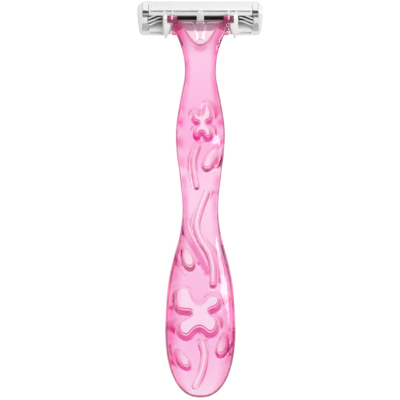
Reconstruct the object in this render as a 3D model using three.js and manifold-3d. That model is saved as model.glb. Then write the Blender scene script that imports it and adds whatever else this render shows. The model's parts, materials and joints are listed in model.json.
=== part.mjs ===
// A cartridge razor lying face down: a clear moulded handle with a relief of flowers, a yoke with two
// pivot pins and a bending return tongue, and a pivoting three-blade cartridge.
// Millimetres. +X across, +Y from the tail to the head, +Z up, away from the shaving face.

import * as THREE from 'three';
import { mergeVertices } from 'three/addons/utils/BufferGeometryUtils.js';
import Module from 'manifold-3d';

const wasm = await Module();
wasm.setup();

// ---------------------------------------------------------------------------------------------------
// Driving dimensions
// ---------------------------------------------------------------------------------------------------

const GAP = 0.12;                 // between pieces that rest on each other

// Handle
const HANDLE_REACH = 131;         // tail to pivot axis
const HANDLE_WIDTH = 24.1;        // across the bulb
const HANDLE_DEPTH = 12.6;        // bulb, front to back
const TAIL_LENGTH = 24;           // rounded end, from the tail to the widest place
const TAIL_ROUNDNESS = 2.3;       // exponent of the tail's outline, 2 is an ellipse
const SECTION_ROUNDNESS = 2.5;    // exponent of the cross section
const RELIEF_DRAFT = 0.75;        // how far the relief's walls lean in, rim to floor

// Yoke
const WEB_THICKNESS = 1.2;
const WEB_DROP = 0.1;             // web's upper face below the pivot axis
const WEB_EDGE = 1.1;             // web's end edge, back from the pivot axis
const FLANGE_LENGTH = 3.4;        // stretch of web that stands out past the arms
const SCOOP_LENGTH = 8.7;         // bottom of the U-shaped scoop, back from the pivot axis
const SCOOP_WIDTH = 13.3;         // across the scoop at the pivot axis
const TONGUE_LENGTH = 6.4;
const TONGUE_TIP_WIDTH = 3.4;
const TONGUE_WAIST_WIDTH = 1.4;
const SLIT_WIDTH = 0.65;
const PIN_RADIUS = 1.1;
const PIN_LENGTH = 1.8;           // from the knuckle's outer face
const PIN_SHOULDER = 0.08;        // knuckle's radius over the pin's
const KNUCKLE_WIDTH = 1.45;

// Cartridge, measured from the pivot axis towards the cap, the guard and the face
const CARTRIDGE_WIDTH = 42.8;
const PIVOT_TO_CAP = 3.5;
const PIVOT_TO_GUARD = 7.7;
const PIVOT_RISE = 0.9;           // pivot axis above the frame's back
const FRAME_THICKNESS = 5.0;
const FRAME_TILT = 28;            // degrees, of the cartridge to the surface it lies on
const CHEEK_WIDTH = 3.5;
const CHEEK_TAPER = 0.7;
const CHEEK_CORNER = 2.0;
const EDGE_ROUND = 0.6;
const BACK_WALL = 1.2;
const CAP_WALL = 0.55;
const BEAM_HEIGHT = 1.3;
const BAY_DEPTH = 2.5;            // how far the guard bar steps down behind the yoke
const BRACKET_INSIDE = 10.1;      // centre plane to the bracket's inner face
const BRACKET_WIDTH = 2.3;
const FIN_HEIGHT = 2.6;           // fin's tip above the frame's back
const CAM_RIB_WIDTH = 2.4;

// Blades
const BLADE_COUNT = 3;
const BLADE_PITCH = 1.5;
const BLADE_TUCK = 0.7;           // blade's end past the cheek's inner wall, under the clip
const BLADE_REACH = 1.6;          // edge to heel
const BLADE_THICKNESS = 0.12;
const BLADE_ANGLE = 22;           // degrees, to the face
const SUPPORT_THICKNESS = 0.3;
const FIRST_EDGE = 4.0;           // first blade's edge, from the pivot axis towards the guard
const SPRING_THICKNESS = 0.4;
const SPRING_WIDTH = 0.7;
const CLIP_WIDTH = 1.95;
const CLIP_THICKNESS = 0.3;

// ---------------------------------------------------------------------------------------------------
// Solids
// ---------------------------------------------------------------------------------------------------

const degrees = THREE.MathUtils.degToRad;

function solid(geometry) {
  geometry.deleteAttribute('normal');
  geometry.deleteAttribute('uv');
  const merged = mergeVertices(geometry, 1e-5);
  const vertProperties = new Float32Array(merged.attributes.position.array);
  const triVerts = new Uint32Array(merged.index.array);
  return new wasm.Manifold(new wasm.Mesh({ numProp: 3, vertProperties, triVerts }));
}

function geometryOf(manifold) {
  const mesh = manifold.getMesh();
  const geometry = new THREE.BufferGeometry();
  geometry.setAttribute('position', new THREE.BufferAttribute(new Float32Array(mesh.vertProperties), 3));
  geometry.setIndex(new THREE.BufferAttribute(new Uint32Array(mesh.triVerts), 1));
  geometry.computeVertexNormals();
  return geometry;
}

function union(parts) {
  return parts.reduce((whole, part) => whole.add(part));
}

function block(x0, x1, y0, y1, z0, z1) {
  const geometry = new THREE.BoxGeometry(x1 - x0, y1 - y0, z1 - z0);
  geometry.translate((x0 + x1) / 2, (y0 + y1) / 2, (z0 + z1) / 2);
  return solid(geometry);
}

// A side profile, given as [y, z] points, extruded across from x0 to x1.
function across(profile, x0, x1) {
  const shape = new THREE.Shape(profile.map(([y, z]) => new THREE.Vector2(y, z)));
  const geometry = new THREE.ExtrudeGeometry(shape, { depth: x1 - x0, bevelEnabled: false });
  const axes = new THREE.Matrix4().makeBasis(
    new THREE.Vector3(0, 1, 0),
    new THREE.Vector3(0, 0, 1),
    new THREE.Vector3(1, 0, 0),
  );
  geometry.applyMatrix4(axes);
  geometry.translate(x0, 0, 0);
  return solid(geometry);
}

// A plan outline, given as [x, y] points, extruded upwards from z0 to z1.
function upright(outline, z0, z1) {
  const shape = new THREE.Shape(outline.map(([x, y]) => new THREE.Vector2(x, y)));
  const geometry = new THREE.ExtrudeGeometry(shape, { depth: z1 - z0, bevelEnabled: false });
  geometry.translate(0, 0, z0);
  return solid(geometry);
}

function rodAcross(radius, x0, x1, y, z, sides = 24) {
  const geometry = new THREE.CylinderGeometry(radius, radius, x1 - x0, sides);
  geometry.rotateZ(Math.PI / 2);
  geometry.translate((x0 + x1) / 2, y, z);
  return solid(geometry);
}

function mirrored(points) {
  return points.map(([x, y]) => [-x, y]).reverse();
}

// The same piece made on both sides, from a function of the side, -1 or 1.
function bothSides(make) {
  return [make(-1), make(1)];
}

function span(side, inner, outer) {
  return side > 0 ? [inner, outer] : [-outer, -inner];
}

function arc(cx, cy, radius, fromDegrees, toDegrees, steps) {
  const points = [];
  for (let i = 0; i <= steps; i += 1) {
    const angle = degrees(fromDegrees + ((toDegrees - fromDegrees) * i) / steps);
    points.push([cx + radius * Math.cos(angle), cy + radius * Math.sin(angle)]);
  }
  return points;
}

function smooth(points, count, closed = false) {
  const vectors = points.map(([x, y]) => new THREE.Vector3(x, y, 0));
  const curve = new THREE.CatmullRomCurve3(vectors, closed, 'centripetal');
  const sampled = curve.getSpacedPoints(count);
  if (closed) sampled.pop();
  return sampled.map((p) => [p.x, p.y]);
}

// Unit normals of an outline or path, pointing to its right-hand side.
function normals(points, closed) {
  const last = points.length - 1;
  return points.map((_, i) => {
    const before = points[closed ? (i + last) % (last + 1) : Math.max(i - 1, 0)];
    const after = points[closed ? (i + 1) % (last + 1) : Math.min(i + 1, last)];
    const length = Math.hypot(after[0] - before[0], after[1] - before[1]);
    return [(after[1] - before[1]) / length, -(after[0] - before[0]) / length];
  });
}

function offset(points, distance) {
  const outward = normals(points, true);
  return points.map(([x, y], i) => [x + outward[i][0] * distance, y + outward[i][1] * distance]);
}

// ---------------------------------------------------------------------------------------------------
// Places that several pieces share
// ---------------------------------------------------------------------------------------------------

// In the cartridge's own frame: y runs from guard to cap, z is out of the back, pivot axis at 0, 0.
const back = -PIVOT_RISE;
const face = back - FRAME_THICKNESS;
const top = PIVOT_TO_CAP;
const bottom = -PIVOT_TO_GUARD;
const bayFloor = back - BAY_DEPTH;
const halfWidth = CARTRIDGE_WIDTH / 2;
const cheekInside = halfWidth - CHEEK_WIDTH;
const beamTop = top - CAP_WALL - 0.75;
const beamBottom = beamTop - BEAM_HEIGHT;
const wallInside = back - BACK_WALL;
const bracketOutside = BRACKET_INSIDE + BRACKET_WIDTH;
const endWindowInside = bracketOutside + 0.4;
const windowBottom = bottom + 2.2;
const guardTop = -FIRST_EDGE - 0.9;
const clipInside = cheekInside - 0.3;
const clipOutside = clipInside + CLIP_WIDTH;
const supportTop = wallInside - 0.9;
const bladeHalf = cheekInside + BLADE_TUCK;

// In the razor's frame, before it is moved to its origin.
const tilt = degrees(FRAME_TILT);
const pivotY = HANDLE_REACH;
const pivotZ = PIVOT_TO_GUARD * Math.sin(tilt) - face * Math.cos(tilt) - EDGE_ROUND * 0.28;
const knuckleOutside = BRACKET_INSIDE - 0.75;
const knuckleInside = knuckleOutside - KNUCKLE_WIDTH;
const webTop = pivotZ - WEB_DROP;
const webBottom = webTop - WEB_THICKNESS;
const tongueRoot = pivotY - WEB_EDGE - TONGUE_LENGTH;

// ---------------------------------------------------------------------------------------------------
// Handle
// ---------------------------------------------------------------------------------------------------

// Sections from the widest place of the bulb to the neck: share of the reach, share of the bulb's
// width, and the heights of the lower and upper surfaces above the ground at the bulb.
const bodySections = [
  [0.183, 1.0, 0.0, 1.0],
  [0.255, 0.96, 0.012, 1.0],
  [0.31, 0.9, 0.06, 0.99],
  [0.37, 0.76, 0.17, 1.0],
  [0.431, 0.59, 0.31, 1.04],
  [0.505, 0.505, 0.46, 1.12],
  [0.595, 0.59, 0.53, 1.24],
  [0.664, 0.68, 0.53, 1.3],
  [0.722, 0.685, 0.53, 1.29],
  [0.786, 0.58, 0.55, 1.21],
  [0.847, 0.452, 0.575, 1.1],
  [0.874, 0.437, 0.583, 1.05],
];

// Sections of the yoke: distance back from the pivot axis, half width, and the heights of the lower
// and upper surfaces from the pivot axis.
const yokeSections = [
  [11.6, knuckleInside - 2.0, -1.6, 3.3],
  [8.1, knuckleInside - 0.95, -1.6, 2.7],
  [5.1, knuckleInside + 0.25, -1.5, 2.1],
  [2.4, knuckleInside + 1.05, -1.3, 1.5],
  [0.5, knuckleOutside - 0.1, -PIN_RADIUS * 0.8, PIN_RADIUS * 0.8],
];

function handleSections() {
  const sections = bodySections.map(([share, width, low, high]) => ({
    y: share * HANDLE_REACH,
    halfWidth: (width * HANDLE_WIDTH) / 2,
    low: low * HANDLE_DEPTH,
    high: high * HANDLE_DEPTH,
  }));
  for (const [setback, width, low, high] of yokeSections) {
    sections.push({ y: pivotY - setback, halfWidth: width, low: pivotZ + low, high: pivotZ + high });
  }
  return sections;
}

// The section at any place along the handle, the rounded tail included.
function sectionFinder() {
  const sections = handleSections();
  const curveOf = (key) => new THREE.CatmullRomCurve3(
    sections.map((section) => new THREE.Vector3(section.y, section[key], 0)),
    false,
    'centripetal',
  );
  const curves = { halfWidth: curveOf('halfWidth'), low: curveOf('low'), high: curveOf('high') };
  const samples = 400;
  const tables = {};
  for (const [key, curve] of Object.entries(curves)) {
    tables[key] = Array.from({ length: samples + 1 }, (_, i) => curve.getPoint(i / samples));
  }
  const read = (key, y) => {
    const table = tables[key];
    const i = Math.min(Math.max(table.findIndex((p) => p.x >= y), 1), samples);
    const [a, b] = [table[i - 1], table[i]];
    return THREE.MathUtils.lerp(a.y, b.y, THREE.MathUtils.clamp((y - a.x) / (b.x - a.x), 0, 1));
  };
  return (y) => {
    const shrink = y < TAIL_LENGTH
      ? (1 - (1 - y / TAIL_LENGTH) ** TAIL_ROUNDNESS) ** (1 / TAIL_ROUNDNESS)
      : 1;
    const at = Math.max(y, sections[0].y);
    const [low, high] = [read('low', at), read('high', at)];
    return {
      halfWidth: read('halfWidth', at) * shrink,
      middle: (low + high) / 2,
      halfDepth: ((high - low) / 2) * shrink,
    };
  };
}

const sectionAt = sectionFinder();

function surfaceHeight(x, y) {
  const section = sectionAt(y);
  const across = Math.min(Math.abs(x) / section.halfWidth, 1);
  const share = (1 - across ** SECTION_ROUNDNESS) ** (1 / SECTION_ROUNDNESS);
  return section.middle + section.halfDepth * share;
}

function handleLoft() {
  const around = 28;
  const tailSteps = 9;
  const bodySteps = 34;
  const end = pivotY - yokeSections[yokeSections.length - 1][0];
  const places = [];
  for (let i = 1; i <= tailSteps; i += 1) {
    places.push(TAIL_LENGTH * (1 - Math.cos((Math.PI / 2) * (i / tailSteps))));
  }
  for (let i = 1; i <= bodySteps; i += 1) {
    places.push(TAIL_LENGTH + ((end - TAIL_LENGTH) * i) / bodySteps);
  }
  const power = 2 / SECTION_ROUNDNESS;
  const positions = [];
  for (const y of places) {
    const section = sectionAt(y);
    for (let j = 0; j < around; j += 1) {
      const angle = (2 * Math.PI * j) / around;
      const [c, s] = [Math.cos(angle), Math.sin(angle)];
      const x = Math.sign(c) * Math.abs(c) ** power * section.halfWidth;
      const z = Math.sign(s) * Math.abs(s) ** power * section.halfDepth;
      positions.push(x, y, section.middle + z);
    }
  }
  const rings = places.length;
  const tailPoint = rings * around;
  const endPoint = tailPoint + 1;
  positions.push(0, 0, sectionAt(0).middle, 0, end, sectionAt(end).middle);
  const index = [];
  for (let j = 0; j < around; j += 1) {
    const next = (j + 1) % around;
    index.push(tailPoint, j, next);
    index.push(endPoint, (rings - 1) * around + next, (rings - 1) * around + j);
    for (let i = 0; i < rings - 1; i += 1) {
      const [a, b] = [i * around + j, i * around + next];
      index.push(a, a + around, b, b, a + around, b + around);
    }
  }
  const geometry = new THREE.BufferGeometry();
  geometry.setAttribute('position', new THREE.BufferAttribute(new Float32Array(positions), 3));
  geometry.setIndex(index);
  return solid(geometry);
}

// A pit with leaning walls, from its floor outline to well above the surface. draft is how far the
// walls lean out between the floor and the surface, where the outline is the rim. floorAt gives the
// floor's height at [x, y].
function pit(rim, draft, floorAt) {
  const above = HANDLE_DEPTH / 4;
  const floor = offset(rim, -draft);
  const count = rim.length;
  const outward = normals(rim, true);
  const positions = [];
  rim.forEach(([x, y], i) => {
    const surface = surfaceHeight(x, y);
    const depth = Math.max(surface - floorAt(x, y), 1);
    const lean = (draft * above) / depth;
    positions.push(x + outward[i][0] * lean, y + outward[i][1] * lean, surface + above);
  });
  floor.forEach(([x, y]) => positions.push(x, y, floorAt(x, y)));
  const index = [];
  for (let i = 0; i < count; i += 1) {
    const next = (i + 1) % count;
    index.push(count + i, next, i);
    index.push(count + i, count + next, next);
  }
  const flat = (outline) => outline.map(([x, y]) => new THREE.Vector2(x, y));
  for (const [a, b, c] of THREE.ShapeUtils.triangulateShape(flat(rim), [])) index.push(a, b, c);
  for (const [a, b, c] of THREE.ShapeUtils.triangulateShape(flat(floor), [])) {
    index.push(count + c, count + b, count + a);
  }
  const geometry = new THREE.BufferGeometry();
  geometry.setAttribute('position', new THREE.BufferAttribute(new Float32Array(positions), 3));
  geometry.setIndex(index);
  return solid(geometry);
}

const reliefScale = HANDLE_WIDTH / 24.1;

// A flower: petals as [direction in degrees, reach, tip radius], and the distance of the notch that
// follows each petal.
function flowerRim(cx, share, petals, steps) {
  const cy = share * HANDLE_REACH;
  const points = [];
  petals.forEach(([direction, reach, radius, notch], i) => {
    const next = petals[(i + 1) % petals.length][0] + (i + 1 === petals.length ? 360 : 0);
    const px = cx + reach * Math.cos(degrees(direction));
    const py = cy + reach * Math.sin(degrees(direction));
    points.push(...arc(px, py, radius, direction - 90, direction + 90, 4));
    const between = degrees((direction + next) / 2);
    points.push([cx + notch * Math.cos(between), cy + notch * Math.sin(between)]);
  });
  const sized = points.map(([x, y]) => [cx + (x - cx) * reliefScale, cy + (y - cy) * reliefScale]);
  return smooth(sized, steps, true);
}

// A teardrop leaf, from its pointed tip to the middle of its round end.
function leafRim([tipX, tipY], [endX, endY], radius) {
  const direction = THREE.MathUtils.radToDeg(Math.atan2(tipY - endY, tipX - endX));
  const length = Math.hypot(tipX - endX, tipY - endY);
  const half = THREE.MathUtils.radToDeg(Math.acos(radius / length)) + 8;
  return [[tipX, tipY], ...arc(endX, endY, radius, direction + half, direction + 360 - half, 12)];
}

// A groove of constant width along a path, with round ends.
function stemRim(path, radius, steps) {
  const line = smooth(path, steps);
  const side = normals(line, false);
  const last = line.length - 1;
  const right = line.map(([x, y], i) => [x + side[i][0] * radius, y + side[i][1] * radius]);
  const left = line.map(([x, y], i) => [x - side[i][0] * radius, y - side[i][1] * radius]).reverse();
  const roundEnd = (centre, normal) => {
    const from = THREE.MathUtils.radToDeg(Math.atan2(normal[1], normal[0]));
    return arc(centre[0], centre[1], radius, from, from + 180, 4).slice(1, -1);
  };
  const startNormal = [-side[0][0], -side[0][1]];
  return [...right, ...roundEnd(line[last], side[last]), ...left, ...roundEnd(line[0], startNormal)];
}

function alongHandle(points) {
  return points.map(([x, share]) => [x * reliefScale, share * HANDLE_REACH]);
}

const flowers = [
  {
    at: [0.25, 0.2206],
    petals: [[46, 6.3, 2.8, 4.8], [130, 7.6, 3.7, 4.0], [222, 6.4, 3.1, 4.9], [316, 5.5, 2.6, 4.1]],
  },
  {
    at: [0.8, 0.7366],
    petals: [[68, 4.2, 2.2, 2.5], [134, 3.5, 1.5, 1.8], [240, 4.2, 1.75, 3.9], [296, 4.2, 2.0, 1.6]],
  },
];

const leaves = [
  { tip: [4.6, 0.667], end: [2.3, 0.624], radius: 2.4 },
  { tip: [-5.4, 0.397], end: [-3.7, 0.358], radius: 2.3 },
  { tip: [8.5, 0.173], end: [7.0, 0.131], radius: 2.2 },
  { tip: [-8.3, 0.134], end: [-4.7, 0.096], radius: 2.2 },
];

const stems = [
  { path: [[-0.9, 0.682], [-2.3, 0.634], [-1.3, 0.573]], radius: 1.15 },
  {
    path: [[2.0, 0.551], [-0.5, 0.495], [-1.3, 0.458], [0.1, 0.423], [2.9, 0.387], [4.2, 0.35], [4.3, 0.306]],
    radius: 1.35,
  },
  { path: [[1.1, 0.157], [1.4, 0.122], [0.3, 0.07], [-1.7, 0.034]], radius: 1.45 },
];

function reliefPits() {
  const pits = [];
  for (const { at, petals } of flowers) {
    const [x, share] = at;
    const floor = sectionAt(share * HANDLE_REACH).middle;
    pits.push(pit(flowerRim(x * reliefScale, share, petals, 56), RELIEF_DRAFT, () => floor));
  }
  for (const { tip, end, radius } of leaves) {
    const [tipPoint, endPoint] = alongHandle([tip, end]);
    const length = Math.hypot(tipPoint[0] - endPoint[0], tipPoint[1] - endPoint[1]);
    const floor = sectionAt(endPoint[1]).middle;
    const crest = surfaceHeight(...tipPoint);
    const floorAt = (x, y) => {
      const share = Math.hypot(x - tipPoint[0], y - tipPoint[1]) / length;
      return THREE.MathUtils.lerp(crest, floor, Math.min(share, 1));
    };
    pits.push(pit(leafRim(tipPoint, endPoint, radius * reliefScale), RELIEF_DRAFT * 0.7, floorAt));
  }
  for (const { path, radius } of stems) {
    const floorAt = (x, y) => {
      const section = sectionAt(y);
      return section.middle + section.halfDepth * 0.2;
    };
    const steps = path.length * 4;
    pits.push(pit(stemRim(alongHandle(path), radius * reliefScale, steps), RELIEF_DRAFT * 0.8, floorAt));
  }
  return pits;
}

// Half the scoop's width at a distance up from its bottom: a parabola.
function scoopHalfWidth(distance) {
  return (SCOOP_WIDTH / 2) * Math.sqrt(distance / SCOOP_LENGTH);
}

function scoopOutline() {
  const steps = 8;
  const bottomY = pivotY - SCOOP_LENGTH;
  const right = [];
  for (let i = 1; i <= steps; i += 1) {
    const distance = SCOOP_LENGTH * (i / steps) ** 2;
    right.push([scoopHalfWidth(distance), bottomY + distance]);
  }
  const past = scoopHalfWidth(SCOOP_LENGTH);
  return [[0, bottomY], ...right, [past, pivotY + 5], [-past, pivotY + 5], ...mirrored(right)];
}

// The web's plan: its end edge between the arms, and the flanges that stand out past them.
function webOutline() {
  const flangeX = BRACKET_INSIDE - 0.25;
  const flangeTop = pivotY - PIN_RADIUS - 1.0;
  const flangeBottom = flangeTop - FLANGE_LENGTH;
  const endY = pivotY - WEB_EDGE;
  const corner = 0.5;
  const right = [
    [knuckleInside - 2.6, pivotY - SCOOP_LENGTH],
    [knuckleInside - 0.8, flangeBottom],
    [flangeX - corner, flangeBottom],
    [flangeX, flangeBottom + corner],
    [flangeX, flangeTop],
    [knuckleOutside - 0.2, flangeTop],
    [knuckleInside - 0.1, endY],
  ];
  return [...right, ...mirrored(right)];
}

// The tongue's plan, narrowest at its waist near the root.
function tongueOutline(spread) {
  const tipHalf = TONGUE_TIP_WIDTH / 2 + spread;
  const waistHalf = TONGUE_WAIST_WIDTH / 2 + spread;
  const tip = pivotY - WEB_EDGE;
  const waist = tongueRoot + TONGUE_LENGTH * 0.2;
  const side = smooth(
    [
      [waistHalf + 0.12, tongueRoot],
      [waistHalf, waist],
      [THREE.MathUtils.lerp(waistHalf, tipHalf, 0.35), THREE.MathUtils.lerp(waist, tip, 0.5)],
      [tipHalf, tip],
    ],
    8,
  );
  return [...side, ...mirrored(side)];
}

function knuckle(side) {
  const [x0, x1] = span(side, knuckleInside, knuckleOutside);
  const insideArm = pivotY - 2.6;
  const profile = [
    [insideArm, pivotZ - PIN_RADIUS * 0.6],
    ...arc(pivotY, pivotZ, PIN_RADIUS + PIN_SHOULDER, -90, 90, 10),
    [insideArm, pivotZ + PIN_RADIUS * 0.6],
  ];
  return across(profile, x0, x1);
}

function pin(side) {
  const [x0, x1] = span(side, knuckleOutside - KNUCKLE_WIDTH / 2, knuckleOutside + PIN_LENGTH);
  return rodAcross(PIN_RADIUS, x0, x1, pivotY, pivotZ);
}

function handleSolid() {
  const high = pivotZ + HANDLE_DEPTH;
  const scoop = scoopOutline();
  const pastWeb = block(-knuckleInside, knuckleInside, pivotY - WEB_EDGE, pivotY + 6, webBottom - 1, webTop + 1);
  const arms = handleLoft()
    .subtract(upright(scoop, webTop, high))
    .subtract(upright(scoop, -HANDLE_DEPTH, webBottom))
    .subtract(upright(scoop, webBottom - 1, webTop + 1).intersect(pastWeb));
  const web = upright(webOutline(), webBottom, webTop);
  const tongueSlot = upright(tongueOutline(SLIT_WIDTH), webBottom - 1, webTop + 1);
  let body = union([arms, web, ...bothSides(knuckle), ...bothSides(pin)]);
  body = body.subtract(tongueSlot);
  for (const cut of reliefPits()) body = body.subtract(cut);
  return body;
}

function tongueSolid() {
  const plate = upright(tongueOutline(0), webBottom, webTop);
  const w = TONGUE_TIP_WIDTH;
  const rootGap = block(-w, w, tongueRoot - 1, tongueRoot + GAP, webBottom - 1, webTop + 1);
  return plate.subtract(rootGap);
}

// ---------------------------------------------------------------------------------------------------
// Cartridge frame
// ---------------------------------------------------------------------------------------------------

// A cheek's plan, rounded at its outer corners and narrower towards the guard.
function cheek(side) {
  const cheekTop = top - 0.5;
  const r = CHEEK_CORNER;
  const lowerX = halfWidth - CHEEK_TAPER;
  const outline = [
    [cheekInside, bottom],
    ...arc(lowerX - r * 0.8, bottom + r * 0.8, r * 0.8, -90, 0, 5),
    ...arc(halfWidth - r, cheekTop - r * 1.3, r, 5, 90, 5).map(([x, y], i) => [x, y + (i / 5) * r * 0.3]),
    [cheekInside, cheekTop],
  ];
  const shape = new THREE.Shape(outline.map(([x, y]) => new THREE.Vector2(x, y)));
  const bevel = {
    bevelEnabled: true,
    bevelThickness: EDGE_ROUND,
    bevelSize: EDGE_ROUND,
    bevelOffset: -EDGE_ROUND,
    bevelSegments: 3,
  };
  const geometry = new THREE.ExtrudeGeometry(shape, { depth: FRAME_THICKNESS - 2 * EDGE_ROUND, ...bevel });
  geometry.translate(0, 0, face + EDGE_ROUND);
  if (side < 0) {
    geometry.scale(-1, 1, 1);
    const index = Array.from({ length: geometry.attributes.position.count }, (_, i) => i);
    for (let i = 0; i < index.length; i += 3) [index[i], index[i + 1]] = [index[i + 1], index[i]];
    geometry.setIndex(index);
  }
  return solid(geometry);
}

// The guard bar's profile, stepped down behind the yoke and full height at the ends.
function guardProfile(backHeight, innerSlope) {
  const r = EDGE_ROUND;
  return [
    ...arc(bottom + r, face + r, r, 180, 270, 3),
    [guardTop + 0.1, face],
    [guardTop + 0.3, face + 0.9],
    [guardTop + 0.3, bayFloor - 0.4],
    [windowBottom + innerSlope, backHeight],
    [bottom + r * 0.5, backHeight],
    [bottom, backHeight - r * 0.5],
  ];
}

// A pivot bracket: a fin that rises from the back and runs out past the guard, cut to a point.
function bracket(side) {
  const [x0, x1] = span(side, BRACKET_INSIDE, bracketOutside);
  const tipY = bottom + 0.9;
  const tipZ = back + FIN_HEIGHT;
  const profile = [
    [beamBottom + 0.3, back - 0.5],
    [tipY + 0.3, back - 0.5],
    [tipY - 0.2, back + FIN_HEIGHT * 0.75],
    [tipY, tipZ],
    [-3.0, tipZ - 0.35],
    [-PIN_RADIUS - 0.3, PIN_RADIUS * 0.75],
    [PIN_RADIUS * 0.4, PIN_RADIUS * 0.45],
    [beamBottom + 0.3, back],
  ];
  const plan = [
    [BRACKET_INSIDE, beamTop],
    [BRACKET_INSIDE, -PIN_RADIUS - 1.1],
    [bracketOutside - 0.85, tipY - 0.4],
    [bracketOutside - 0.4, tipY - 0.4],
    [bracketOutside, tipY + 2.6],
    [bracketOutside, beamTop],
  ];
  const outline = side > 0 ? [...plan].reverse() : plan.map(([x, y]) => [-x, y]);
  return across(profile, x0, x1).intersect(upright(outline, face, tipZ + 1));
}

// The column of back wall that carries a bracket, down to the guard bar.
function bracketColumn(side) {
  const [x0, x1] = span(side, BRACKET_INSIDE, endWindowInside);
  return union([
    block(x0, x1, bottom + EDGE_ROUND, beamBottom + 0.2, wallInside, back),
    block(x0, x1, bottom + EDGE_ROUND, guardTop + 0.2, bayFloor - 0.5, back),
  ]);
}

// The thin open collar beside the knuckle, on a ledge under the pin.
function collar(side) {
  const [x0, x1] = span(side, knuckleOutside + GAP, knuckleOutside + GAP + 0.35);
  const [l0, l1] = span(side, knuckleInside, BRACKET_INSIDE + 0.1);
  const seat = PIN_RADIUS + 0.2;
  const ledgeTop = -seat - 0.3;
  return union([
    rodAcross(seat + 0.4, x0, x1, 0, 0),
    block(l0, l1, -seat - 0.2, beamBottom + 0.1, wallInside - 0.2, ledgeTop),
    block(x0, x1, -seat, seat, wallInside - 0.1, -PIN_RADIUS),
  ]);
}

// What the pins need: a round seat, open towards the back so that they snap in.
function pinSeat(side) {
  const [x0, x1] = span(side, knuckleInside - 0.2, knuckleOutside + PIN_LENGTH + 0.15);
  const seat = PIN_RADIUS + 0.2;
  return rodAcross(seat, x0, x1, 0, 0).add(block(x0, x1, -PIN_RADIUS * 0.9, PIN_RADIUS * 0.9, 0, FIN_HEIGHT + 1));
}

// The rib that the tongue presses on, between the two middle windows.
function camRib() {
  const half = CAM_RIB_WIDTH / 2;
  const profile = [
    [beamBottom + 0.2, back],
    [beamBottom + 0.2, wallInside + 0.1],
    [guardTop + 0.4, wallInside + 0.1],
    [guardTop + 0.15, bayFloor - 0.3],
    [windowBottom - 0.2, bayFloor - 0.3],
    [guardTop - 0.1, wallInside + 0.45],
    [-2.2, back],
  ];
  return across(profile.reverse(), -half, half);
}

// Short ribs that bridge the gap from the beam towards the cap, with pockets between them.
function capRibs() {
  const ribs = [[-0.9, 0.9]];
  for (const side of [-1, 1]) {
    ribs.push(span(side, knuckleOutside - 0.25, knuckleOutside + 0.45));
    ribs.push(span(side, bracketOutside - 0.6, bracketOutside + 0.2));
    ribs.push(span(side, cheekInside - 1.0, cheekInside + 0.2));
  }
  return ribs.map(([x0, x1]) => block(x0, x1, beamTop - 0.2, top - CAP_WALL - GAP, face + 1.3, back - 0.1));
}

function clipChannel(side) {
  const [x0, x1] = span(side, clipInside - 0.15, clipOutside + 0.12);
  const slotBack = windowBottom + 0.35;
  const slotFront = slotBack - CLIP_THICKNESS - 0.3;
  return union([
    block(x0, x1, 0, top + 1, back - CLIP_THICKNESS - 0.1, back + 1),
    block(x0, x1, top - 0.55 - CLIP_THICKNESS, top + 1, face - 1, back + 1),
    block(x0, x1, slotFront, slotBack, face - 1, back + 1),
    block(x0, x1, slotFront, -2.4, back - CLIP_THICKNESS - 0.1, back + 1),
    block(x0, x1, slotFront, top + 1, face - 1, face + 0.1),
  ]);
}

function bladeCavity() {
  const half = bladeHalf + 0.3;
  return block(-half, half, guardTop + 0.3, beamBottom, face - 1, wallInside);
}

function frameSolid() {
  const reach = cheekInside + 0.2;
  const beam = block(-reach, reach, beamBottom, beamTop, face + 1.3, back);
  const guardMiddle = across(guardProfile(bayFloor, 0.3), -bracketOutside, bracketOutside);
  const guardEnds = bothSides((side) => {
    const [x0, x1] = span(side, endWindowInside - 0.5, reach);
    return across(guardProfile(back, 0), x0, x1);
  });
  const slots = bothSides((side) => {
    const [x0, x1] = span(side, endWindowInside + 0.4, cheekInside - 0.6);
    return block(x0, x1, bottom + 0.8, bottom + 1.7, back - 1.3, back + 1);
  });
  const groove = block(-cheekInside + 1.2, cheekInside - 1.2, bottom + 0.5, guardTop - 0.35, face - 1, face + 0.6);
  let frame = union([
    ...bothSides(cheek),
    beam,
    guardMiddle,
    ...guardEnds,
    ...bothSides(bracketColumn),
    ...bothSides(bracket),
    ...bothSides(collar),
    ...capRibs(),
  ]);
  frame = frame.subtract(bladeCavity()).add(camRib());
  for (const cut of [...bothSides(pinSeat), ...bothSides(clipChannel), ...slots, groove]) {
    frame = frame.subtract(cut);
  }
  return frame;
}

// ---------------------------------------------------------------------------------------------------
// Pieces on the frame
// ---------------------------------------------------------------------------------------------------

const capHalf = clipInside - 0.15;
const stripTop = top - 0.5;
const stripBottom = -FIRST_EDGE + (BLADE_COUNT - 1) * BLADE_PITCH + 2.0;

function capSolid() {
  const r = EDGE_ROUND;
  const profile = [
    [top - CAP_WALL, back],
    [top - CAP_WALL, face + 1.0],
    [stripBottom - 0.4, face + 1.0],
    [stripBottom - 0.4, face + 0.3],
    [stripBottom - 0.1, face],
    [top - r, face],
    ...arc(top - r, face + r, r, -90, 0, 4).slice(1),
    [top, back - 0.3],
    [top - 0.3, back],
  ];
  const groove = block(-capHalf + 1.2, capHalf - 1.2, stripBottom, stripTop, face - 1, face + 0.5);
  return across(profile, -capHalf, capHalf).subtract(groove);
}

function lubricatingStripSolid() {
  const half = capHalf - 1.2 - GAP;
  const low = face - 0.15;
  const profile = [
    [stripBottom + GAP, face + 0.5 - GAP],
    [stripBottom + GAP, face - 0.02],
    [stripBottom + GAP + 0.3, low],
    [stripTop - GAP - 0.3, low],
    [stripTop - GAP, face - 0.02],
    [stripTop - GAP, face + 0.5 - GAP],
  ];
  return across(profile, -half, half);
}

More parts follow.
